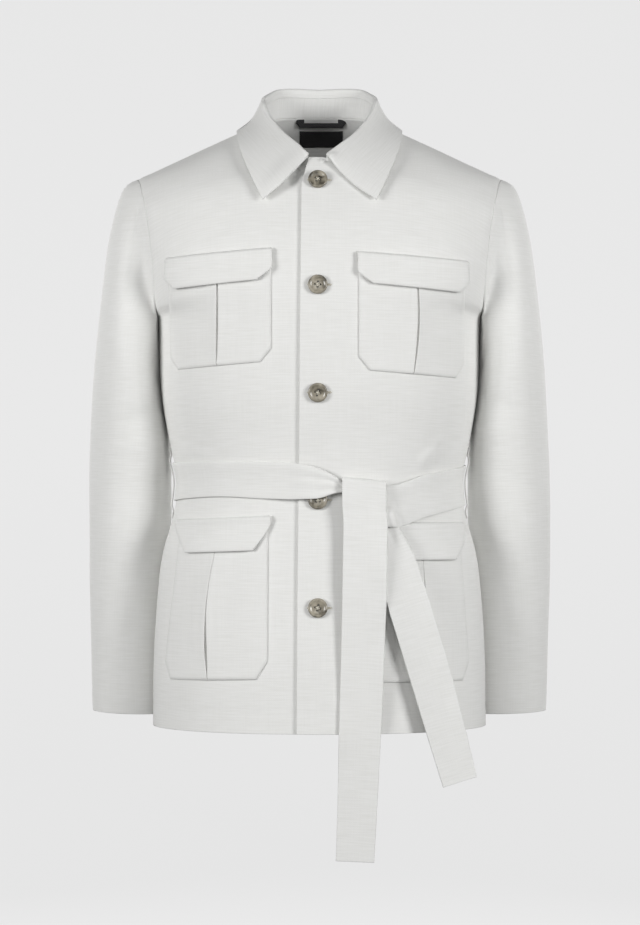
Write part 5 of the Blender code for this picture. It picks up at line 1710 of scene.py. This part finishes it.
@dataclass
class ButtonRow:
    """Five dished four-hole buttons down the left front, each through its buttonhole."""

    form: JacketForm
    finishes: Finishes
    x: float = -2.0
    top: float = -80.0
    spacing: float = 126.4
    count: int = 5
    hole_radius: float = 1.3
    hole_reach: float = 3.1
    # How far the buttonhole's middle lies past the button's, towards the left front.
    slot_shift: float = 1.9
    stand: float = 0.5
    top_lean: float = 0.55
    top_lift: float = 1.3
    turns: tuple = (12.0, 40.0, 28.0, 5.0, 33.0)
    # Columns: radius and height, from the middle of the back round to the middle of the face.
    profile: tuple = (
        (0.0, 0.3),
        (8.0, 0.3),
        (10.4, 0.7),
        (11.3, 1.6),
        (11.5, 2.5),
        (11.2, 3.4),
        (10.4, 4.0),
        (9.4, 4.1),
        (8.5, 3.8),
        (7.8, 3.3),
        (6.8, 2.9),
        (4.0, 2.7),
        (0.0, 2.7),
    )

    def blank(self) -> bpy.types.Mesh:
        """Turn a button and drill its four holes.

        Returns:
            The mesh, in metres, facing up.
        """
        points, faces = turned(self.profile[1:-1], 64)
        blank = mesh_object("button_blank", points * MM, faces)
        points, faces = turned(((self.hole_radius, -6.0), (self.hole_radius, 6.0)), 24)
        drills, drill_faces = [], []
        for k in range(4):
            angle = math.radians(45 + 90 * k)
            aside = np.array((math.cos(angle), math.sin(angle), 0.0)) * self.hole_reach
            drill_faces.extend(tuple(len(drills) + i for i in face) for face in faces)
            drills.extend(points + aside)
        drill = mesh_object("button_drills", np.array(drills) * MM, drill_faces)
        cut = blank.modifiers.new("holes", "BOOLEAN")
        cut.operation = "DIFFERENCE"
        cut.object = drill
        cut.solver = "EXACT"
        graph = bpy.context.evaluated_depsgraph_get()
        result = bpy.data.meshes.new_from_object(blank.evaluated_get(graph))
        result.shade_smooth()
        result.set_sharp_from_angle(angle=math.radians(50))
        bpy.data.objects.remove(blank)
        bpy.data.objects.remove(drill)
        return result

    def tube(self, path: list, radius: float, sides: int = 8) -> tuple[list, list]:
        """Make a thread's tube along a path.

        Args:
            path: Points in millimetres.
            radius: The thread's radius.
            sides: How many sides it has.

        Returns:
            Its points and faces.
        """
        line = np.array(path, float)
        ways = unit(np.gradient(line, axis=0))
        helper = np.array((0.0, 0.0, 1.0))
        first = unit(np.cross(ways, helper) + 1e-6)
        second = np.cross(ways, first)
        points = []
        for p, a, b in zip(line, first, second):
            for k in range(sides):
                angle = 2 * math.pi * k / sides
                points.append(p + (a * math.cos(angle) + b * math.sin(angle)) * radius)
        return points, ring_faces(len(line), sides)

    def thread(self) -> tuple[np.ndarray, list]:
        """Sew a cross of thread through the four holes.

        Returns:
            Its points in millimetres, in the button's own space, and its faces.
        """
        points, faces = [], []
        for pair, angle in enumerate((45, 135)):
            a = math.radians(angle)
            first = np.array((math.cos(a), math.sin(a), 0.0)) * self.hole_reach * 0.78
            last = -first
            for strand in (-0.35, 0.0, 0.35):
                aside = np.array((-math.sin(a), math.cos(a), 0.0)) * strand
                path = []
                # Each strand dips into its two holes at both ends.
                for s in np.linspace(-0.12, 1.12, 13):
                    inside = min(max(s, 0.0), 1.0)
                    rise = 2.3 if s < 0 or s > 1 else 3.0 + 0.25 * math.sin(math.pi * inside)
                    rise = 1.2 if s < -0.05 or s > 1.05 else rise
                    spot = first * (1 - inside) + last * inside + aside
                    path.append(spot + np.array((0.0, 0.0, rise + 0.3 * pair)))
                tube_points, tube_faces = self.tube(path, 0.24)
                offset = len(points)
                points.extend(tube_points)
                faces.extend(tuple(offset + k for k in face) for face in tube_faces)
        return np.array(points), faces

    def buttonhole(self) -> tuple[np.ndarray, list]:
        """Work a buttonhole's edge in close stitches, as a long ring.

        Returns:
            Its points in millimetres, in the button's own space, and its faces.
        """
        path = []
        for k in range(49):
            angle = 2 * math.pi * k / 48
            x = self.slot_shift + 2.8 * math.cos(angle) ** 3 + 11.2 * math.cos(angle)
            path.append((x, 1.15 * math.sin(angle), 0.15 + 0.05 * math.sin(14 * angle)))
        points, faces = self.tube(path, 0.75, 6)
        return np.array(points), faces

    def build(self) -> None:
        """Build and dress the buttons, their thread and their buttonholes."""
        blank = self.blank()
        for number in range(1, self.count + 1):
            z = np.array([self.top - self.spacing * (number - 1)])
            place, normal = self.form.front_at(np.array([abs(self.x)]), z)
            relief = self.form.front_relief(np.array([self.x]), z)[0]
            place = place[0] * (-1, 1, 1) + normal[0] * (0, 1, 1) * relief
            # The top button hangs a little forward of the cloth, which slopes back there.
            top = 1.0 if number == 1 else 0.0
            outward = unit(normal[0] * (0, 1, 1) - (0, self.top_lean * top, 0))
            place = place + outward * self.top_lift * top
            right = np.array((1.0, 0.0, 0.0))
            up = np.cross(outward, right)
            turn = math.radians(self.turns[number - 1])
            across = right * math.cos(turn) + up * math.sin(turn)
            axes = np.array((across, up * math.cos(turn) - right * math.sin(turn), outward))
            name = f"button_{number}"
            mesh = blank.copy()
            local = np.array([v.co for v in mesh.vertices])
            world = local @ axes + (place + outward * self.stand) * MM
            mesh.vertices.foreach_set("co", world.ravel())
            mesh.update()
            item = add_object(name + "_horn", mesh)
            self.finishes.dress(item, self.finishes.horn, Slot.HORN, name)
            points, faces = self.thread()
            points = points @ axes + place + outward * self.stand
            item = mesh_object(name + "_thread", points * MM, faces)
            self.finishes.dress(item, self.finishes.thread, Slot.LINEN)
            plain = np.array((right, up, outward))
            points, faces = self.buttonhole()
            item = mesh_object(name + "_buttonhole", (points @ plain + place) * MM, faces)
            self.finishes.dress(item, self.finishes.thread, Slot.LINEN)


# The belt


@dataclass
class TiedBelt:
    """The belt's band round the waist, its two hanging ends and the loops that carry it."""

    form: JacketForm
    finishes: Finishes
    cloth: float = 2.4
    # Columns: share of the way round the waist, the band's middle height, its width and its
    # stand-off.
    stretches: tuple = (
        (-0.026, -445.5, 9.0, 5.4),
        (-0.014, -441.0, 21.0, 5.6),
        (0.000, -439.5, 35.0, 5.8),
        (0.014, -437.5, 41.0, 5.6),
        (0.030, -436.8, 43.5, 2.4),
        (0.060, -436.0, 43.0, 0.9),
        (0.110, -434.8, 41.5, 0.7),
        (0.180, -436.6, 43.5, 0.7),
        (0.250, -438.4, 46.5, 0.7),
        (0.375, -440.0, 48.0, 0.7),
        (0.500, -440.0, 48.0, 0.7),
        (0.625, -440.5, 48.0, 0.7),
        (0.750, -442.5, 48.0, 0.7),
        (0.820, -447.0, 48.0, 0.8),
        (0.880, -455.0, 49.0, 2.0),
        (0.930, -466.6, 49.0, 5.0),
        (0.962, -466.5, 34.0, 5.2),
    )
    # Columns: height, the middle's x and the width, for both hanging ends.
    tail_front: tuple = (
        (-484, 54.0, 52.0),
        (-510, 53.5, 52.0),
        (-540, 53.0, 52.0),
        (-580, 52.2, 51.8),
        (-620, 51.0, 51.0),
        (-660, 49.8, 50.5),
        (-700, 48.4, 50.0),
        (-740, 47.0, 49.0),
        (-790, 45.4, 47.5),
        (-840, 43.4, 46.0),
        (-882, 41.6, 45.0),
    )
    tail_side: tuple = (
        (-482, 71.0, 27.0),
        (-496, 77.5, 31.0),
        (-513, 84.5, 37.5),
        (-535, 91.5, 45.0),
        (-565, 99.8, 48.5),
        (-600, 110.8, 49.0),
        (-640, 123.0, 49.0),
        (-680, 134.5, 48.0),
        (-715, 144.3, 46.5),
        (-750, 154.0, 44.5),
        (-790, 165.0, 41.5),
    )
    # Columns: place along the fold, stand-off and height.
    knot_fold: tuple = (
        (0, 2.6, -461.0),
        (1, 2.6, -449.0),
        (2, 3.8, -439.5),
        (3, 8.2, -435.4),
        (4, 12.6, -439.0),
        (5, 14.6, -450.0),
        (6, 15.4, -467.0),
    )
    knot_x: float = 52.6
    knot_width: float = 52.0
    knot_slope: float = 0.09
    # How far the side end's inner edge is turned out by the knot's pull.
    twist: float = 11.0
    # Where round the waist the band's right half begins to gather.
    gathered_from: float = 0.87
    # Columns: place along the loop, height and stand-off.
    loop_path: tuple = (
        (0, -397.0, 1.3),
        (1, -405.0, 1.3),
        (2, -410.0, 3.6),
        (3, -416.0, 5.4),
        (4, -440.0, 5.8),
        (5, -464.0, 5.4),
        (6, -470.0, 3.6),
        (7, -475.0, 1.3),
        (8, -483.0, 1.3),
    )
    loop_width: float = 9.0
    # Where the grids' lines lie across the band and across its hanging ends.
    band_lines: tuple = (-0.5, -0.48, -0.42, -0.3, -0.2, -0.1, 0, 0.1, 0.2, 0.3, 0.42, 0.48, 0.5)
    end_lines: tuple = (-0.5, -0.48, -0.42, -0.3, -0.18, -0.06, 0.06, 0.18, 0.3, 0.42, 0.48, 0.5)

    def pleats(self, across: np.ndarray, count: float, start: float) -> np.ndarray:
        """Waves across the cloth, where the knot gathers it."""
        return np.cos(2 * np.pi * (across[None, :] * count + start))

    def band(self, under: Underlay) -> Wall:
        """Make the band round the waist, gathered where it runs into the knot.

        Args:
            under: What it lies on.

        Returns:
            The band's wall.
        """
        first, last = self.stretches[0][0], self.stretches[-1][0]
        s = np.linspace(0, 1, 361)
        s = np.sort(np.concatenate((s, [0.0008, 0.9992])))
        turns = first + (last - first) * (s - np.sin(2 * np.pi * s) * 0.09)
        across = np.array(self.band_lines)
        centre, width, stand = spline_rows(self.stretches, turns).T
        turn_grid = np.repeat(turns[:, None], len(across), axis=1)
        z = centre[:, None] + width[:, None] * across[None, :]
        points, outward = self.form.waist_at(turn_grid.ravel(), z.ravel())
        points = points.reshape(*z.shape, 3)
        outward = outward.reshape(*z.shape, 3)
        near_left = 1 - soft_step((turns - first) / 0.075)[:, None]
        near_right = soft_step((turns - self.gathered_from) / 0.09)[:, None]
        pleats = self.pleats(across, 2.6, 0.15) * near_left * 1.5
        pleats = pleats + self.pleats(across, 2.0, 0.3) * near_right
        swell = 0.35 * slack(turn_grid * 1100, z, 4.0)
        lift = stand[:, None] + pleats + swell + 0.4
        rim = 0.7 * (1 - soft_step((0.5 - np.abs(across[None, :])) * 25))
        inner = points + outward * lift[..., None]
        outer = points + outward * (lift + self.cloth - rim)[..., None]
        length = lengths(points[:, 6])
        grain = np.stack((0 * z + length[:, None], z), -1)
        return under.settle(Wall(outer, inner, grain), 0.4, rounds=5)

    def strip(
        self, rows: tuple, under: Underlay, start: np.ndarray | None = None, twist: float = 0.0
    ) -> Wall:
        """Hang a belt end over what lies below it.

        Args:
            rows: Height, centre and width down the strip.
            under: What it hangs over.
            start: Rows of points already placed above it.
            twist: How far its inner edge stands off, turned by the pull of the knot.

        Returns:
            The strip's wall.
        """
        keys = -np.array(rows, float)[:, 0]
        table = np.column_stack((keys, np.array(rows, float)[:, 1:]))
        at = evenly(keys, keys, 5.0)
        centre_x, width = spline_rows(table, at).T
        centres = np.column_stack((centre_x, -at))
        ways = np.gradient(centres, at, axis=0)
        ways = ways / np.linalg.norm(ways, axis=1, keepdims=True)
        across = np.array(self.end_lines)
        side = np.column_stack((-ways[:, 1], ways[:, 0]))
        spots = centres[:, None] + side[:, None] * (width[:, None] * across[None, :])[..., None]
        half = self.cloth / 2
        least = np.array([[under.depth(x, z) - half - LAY_GAP for x, z in row] for row in spots])
        if start is not None:
            least = np.vstack((start[-1:, :, 1], least))
        depths = self.drape(least)
        if start is not None:
            depths = depths[1:]
        middle = np.stack((spots[..., 0], depths, spots[..., 1]), -1)
        if start is not None:
            middle = np.concatenate((start, middle))
        along = lengths(middle[:, 6])
        length = along[:, None] + 0 * middle[..., 0]
        flutter = 0.5 * slack(across[None, :] * 90 + 0 * length, -length * 0.8, middle[0, 0, 0])
        flutter = flutter + 0.8 * np.sin(length / 31) * across[None, :] ** 2 * 4
        middle[..., 1] -= np.abs(flutter) * soft_step(length / 60)
        if twist:
            lifted = np.clip(0.5 - across[None, :], 0, 1) ** 1.3 * soft_step(length / 90)
            pleats = self.pleats(across, 2.4, 0.2) + 0.6
            middle[..., 1] -= twist * lifted + 1.6 * pleats * (1 - soft_step(length / 75))
        normals = facing(grid_normals(middle), np.array((0.0, -1.0, 0.0)))
        if start is not None:
            normals[: len(start)] = self.turning(normals[: len(start)])
        thin = 0.35 * (1 - soft_step((0.5 - np.abs(across)) * 25))[None, :, None]
        grain = np.stack((0 * length + across[None, :] * 50, -length), -1)
        return Wall(middle + normals * (half - thin), middle - normals * (half - thin), grain)

    def turning(self, normals: np.ndarray) -> np.ndarray:
        """Keep a folded strip's normals turning steadily, from its hidden leg to its front.

        Args:
            normals: The start's normals.

        Returns:
            The normals, each on the side of the one after it.
        """
        for k in range(len(normals) - 2, -1, -1):
            flip = np.sum(normals[k] * normals[k + 1], axis=-1, keepdims=True) < 0
            normals[k] = np.where(flip, -normals[k], normals[k])
        return normals

    def drape(self, least: np.ndarray) -> np.ndarray:
        """Hang rows taut over what they lie on, and straight down below it.

        Args:
            least: The furthest back that each point may lie, or infinity.

        Returns:
            The depths.
        """
        depths = least.copy()
        depths[np.isinf(depths)] = least[0].min()
        free = np.isinf(least)
        for _ in range(900):
            above = depths[:-1]
            below = np.vstack((depths[2:], depths[-2:-1]))
            mean = (above + below) / 2
            padded = np.pad(mean, ((0, 0), (1, 1)), mode="edge")
            mean = mean * 0.7 + (padded[:, :-2] + padded[:, 2:]) / 2 * 0.3
            depths[1:] = np.where(free[1:], mean, np.minimum(least[1:], mean))
        return depths

    def knot(self) -> np.ndarray:
        """Fold the front end over the knot.

        Returns:
            Rows of points, from behind the knot to its front.
        """
        keys = np.concatenate((np.linspace(0, 6, 31), [5.95]))
        stand, height = spline_rows(self.knot_fold, np.sort(keys)).T
        across = np.array(self.end_lines)
        x = self.knot_x + self.knot_width * across[None, :] + 0 * stand[:, None]
        z = height[:, None] - self.knot_slope * self.knot_width * across[None, :]
        points, _ = self.form.front_at(x, z)
        points = points.reshape(*x.shape, 3)
        return np.stack((x, points[..., 1] - stand[:, None], z), -1)

    def loops(self) -> None:
        """Build and dress the narrow loop over the belt at each side seam."""
        keys = np.linspace(0, 8, 49)
        height, stand = spline_rows(self.loop_path, keys).T
        across = np.array((-0.5, -0.4, -0.15, 0.15, 0.4, 0.5))
        for side, turn in ((Side.RIGHT, 0.25), (Side.LEFT, 0.75)):
            points, outward = self.form.waist_at(np.full(49, turn), height)
            middle = (points + outward * stand[:, None])[:, None] + np.zeros((1, 6, 1))
            middle[..., 1] += self.loop_width * across[None, :]
            normals = facing(grid_normals(middle), np.array((float(side.value), 0.0, 0.0)))
            half = np.where(np.abs(across) > 0.45, 0.4, 0.8)[None, :, None]
            still = 0 * middle[..., 2]
            grain = np.stack((still + across * self.loop_width, still + height[:, None]), -1)
            wall = Wall(middle + normals * half, middle - normals * half, grain)
            name = "belt_loop_" + side.name.lower()
            self.finishes.sheet(wall, name, (0.011, 0.092), Held.SEWN_DOWN, ("belt_cloth",))

    def build(self, under: Underlay) -> None:
        """Build and dress the belt's pieces, from the lowest up.

        Args:
            under: What they lie on, and where they are laid down.
        """
        on_front = ("front_left_cloth",)
        wall = self.strip(self.tail_side, under, twist=self.twist)
        self.finishes.sheet(wall, "belt_tail_side", (0.05, 0.38), Held.HANGING, on_front)
        under.lay(wall)
        wall = self.band(under)
        self.finishes.sheet(wall, "belt", (0.9, 0.05), Held.GATHERED, on_front)
        under.lay(wall)
        wall = self.strip(self.tail_front, under, self.knot())
        self.finishes.sheet(wall, "belt_tail_front", (0.052, 0.5), Held.HANGING, on_front)
        self.loops()


# Inside the neck


@dataclass
class NeckTrim:
    """The black hanger loop under the back neck seam, and the plain label below it."""

    back: Wall
    finishes: Finishes
    x: float = 2.0
    tape_outer: float = 31.0
    tape_inner: float = 21.0
    tape_top: float = 12.0
    bar_top: float = 7.5
    tape_bottom: float = 1.5
    corner: float = 4.0
    tape_cloth: float = 1.2
    label_width: float = 54.0
    label_top: float = -1.5
    label_bottom: float = -20.5

    def __post_init__(self) -> None:
        """Make a tree of the back's inner face to measure from."""
        points = self.back.inner.reshape(-1, 3).tolist()
        self.tree = BVHTree.FromPolygons(points, self.back.quads().tolist())

    def depth(self, x: float, z: float) -> float:
        """The depth of the back's inner face at a place seen from the front."""
        return self.tree.ray_cast(Vector((x, 0.0, z)), Vector((0.0, 1.0, 0.0)))[0].y

    def tape_piece(self, name: str, outline: list, depth: float) -> bpy.types.Object:
        """Cut a flat piece of tape.

        Args:
            name: The piece's name.
            outline: Its four corners, counterclockwise from the lower left as seen in front.
            depth: How far back its hidden side lies.

        Returns:
            The piece.
        """
        a, b, c, d = (np.array(p, float) for p in outline)
        s = np.array((0, 0.03, 0.1, 0.3, 0.5, 0.7, 0.9, 0.97, 1.0))
        u, v = np.meshgrid(s, s)
        flat = (
            a * ((1 - u) * (1 - v))[..., None]
            + b * (u * (1 - v))[..., None]
            + c * (u * v)[..., None]
            + d * ((1 - u) * v)[..., None]
        )
        rim = np.minimum(np.minimum(u, 1 - u), np.minimum(v, 1 - v))
        puff = self.tape_cloth * (0.55 + 0.45 * soft_step(rim / 0.1))
        back = np.stack((flat[..., 0], np.full_like(u, depth), flat[..., 1]), -1)
        face = back - np.stack((0 * u, puff, 0 * u), -1)
        return Wall(face, back, flat).make(name)

    def build(self) -> None:
        """Build and dress the loop and the label."""
        x0, x1 = self.x - self.tape_outer, self.x + self.tape_outer
        i0, i1 = self.x - self.tape_inner, self.x + self.tape_inner
        depth = self.depth(x1, self.bar_top) - 0.9
        low, high, top = self.tape_bottom, self.bar_top, self.tape_top
        bar = [(x0 + self.corner, low), (x1 - self.corner, low), (x1 - 0.4, high), (x0 + 0.4, high)]
        left = [(x0, high - 1.2), (i0, high - 0.4), (i0, top), (x0, top)]
        right = [(i1, high - 0.4), (x1, high - 1.2), (x1, top), (i1, top)]
        pieces = [self.tape_piece("hanger_loop_bar", bar, depth)]
        pieces.append(self.tape_piece("hanger_loop_leg_right", left, depth + 0.7))
        pieces.append(self.tape_piece("hanger_loop_leg_left", right, depth + 0.7))
        for piece in pieces:
            self.finishes.dress(piece, self.finishes.tape, Slot.TAPE, "hanger_loop")
        bar, *legs = pieces
        xs = self.x + self.label_width * (np.linspace(0, 1, 41) - 0.5)
        zs = np.concatenate(([self.label_bottom, self.label_bottom + 0.5], np.linspace(-19, -3, 14)))
        zs = np.concatenate((zs, [self.label_top - 0.5, self.label_top]))
        u, v = np.meshgrid(xs, zs)
        spots = [[(x, self.depth(x, z) - 0.5, z) for x, z in zip(*row)] for row in zip(u, v)]
        behind = np.array(spots)
        edge = np.minimum(np.minimum(u - xs[0], xs[-1] - u), np.minimum(v - zs[0], zs[-1] - v))
        thick = 0.6 + 0.5 * soft_step(edge / 0.8) - 0.25 * ridge(edge, 1.8, 0.5)
        face = behind - np.stack((0 * thick, thick, 0 * thick), -1)
        item = Wall(face, behind, np.stack((u, v), -1)).make("neck_label_cloth")
        self.finishes.dress(item, self.finishes.tape, Slot.TAPE, "neck_label")


# The studio


@dataclass
class Studio:
    """A pale floor that curves up into a wall all round, soft lamps, and the camera."""

    floor_z: float = -1.5
    radius: float = 4.6
    bend: float = 1.2
    wall_top: float = 1.6
    sky: float = 0.12
    camera_y: float = -3.0
    camera_z: float = -0.415
    camera_x: float = 0.0006
    view_height: float = 1.1285
    # Columns: name, place, width and power in watts.
    lamps: tuple = (
        ("left_lamp", (-2.05, -1.75, 0.0), 1.1, 42.0),
        ("right_lamp", (2.05, -1.75, 0.0), 1.1, 42.0),
        ("front_lamp", (0.0, -3.0, 0.8), 1.6, 12.0),
        ("rear_left_lamp", (-1.5, 2.2, 0.2), 1.4, 32.0),
        ("rear_right_lamp", (1.5, 2.2, 0.2), 1.4, 32.0),
    )

    def build(self) -> None:
        """Build the floor, the lamps and the camera."""
        self.floor()
        self.light()
        self.camera()
        bpy.context.scene.view_settings.view_transform = "Standard"

    def floor(self) -> None:
        """Sweep the floor's profile round."""
        start = self.radius - self.bend
        profile = [(0.02, self.floor_z), (start, self.floor_z)]
        for angle in np.linspace(0, math.pi / 2, 13)[1:]:
            rise = self.bend * (1 - math.cos(angle))
            profile.append((start + self.bend * math.sin(angle), self.floor_z + rise))
        profile.append((self.radius, self.wall_top))
        points, faces = turned(tuple(profile), 96)
        item = mesh_object("studio_floor", points, faces[:-1])
        item.data.materials.append(StudioFinish().make())
        # The backdrop's glow stays on the backdrop, so the jacket keeps its shadows.
        itself = bpy.data.collections.new("studio_floor_only")
        itself.objects.link(item)
        item.light_linking.receiver_collection = itself

    def light(self) -> None:
        """Light the jacket softly from the front, and a little from all round."""
        world = bpy.data.worlds.new("studio_sky")
        world.use_nodes = True
        sky = world.node_tree.nodes["Background"]
        sky.inputs["Color"].default_value = (1.0, 1.0, 1.0, 1.0)
        sky.inputs["Strength"].default_value = self.sky
        bpy.context.scene.world = world
        aim = Vector((0.0, 0.0, -0.4))
        for name, place, size, power in self.lamps:
            lamp = bpy.data.lights.new(name, "AREA")
            lamp.shape = "DISK"
            lamp.size = size
            lamp.energy = power
            item = add_object(name, lamp)
            item.location = place
            item.rotation_euler = (aim - Vector(place)).to_track_quat("-Z", "Y").to_euler()

    def camera(self) -> None:
        """Set the camera level with the belt, as the photograph has it."""
        camera = bpy.data.cameras.new("camera")
        camera.sensor_fit = "VERTICAL"
        camera.angle = 2 * math.atan(self.view_height / 2 / abs(self.camera_y))
        item = add_object("camera", camera)
        item.location = (self.camera_x, self.camera_y, self.camera_z)
        item.rotation_euler = (math.pi / 2, 0.0, 0.0)
        bpy.context.scene.camera = item


def plain(box: tuple) -> list:
    """A box's two corners as plain lists of numbers."""
    return [[float(v) for v in corner] for corner in box]


def main() -> None:
    """Build every piece, each on top of those that it lies on."""
    logging.basicConfig(level=logging.INFO, format="%(name)s: %(message)s")
    form = JacketForm()
    finishes = Finishes()
    under = Underlay()
    back, _, _ = BodyPanels(form, finishes).build(under)
    Sleeves(form, finishes).build()
    Collar(form, finishes).build(under)
    for patch in (*POCKETS, *FLAPS):
        patch.build(form, finishes, under)
    ButtonRow(form, finishes).build()
    TiedBelt(form, finishes).build(under)
    NeckTrim(back, finishes).build()
    Studio().build()


if __name__ == "__main__":
    main()
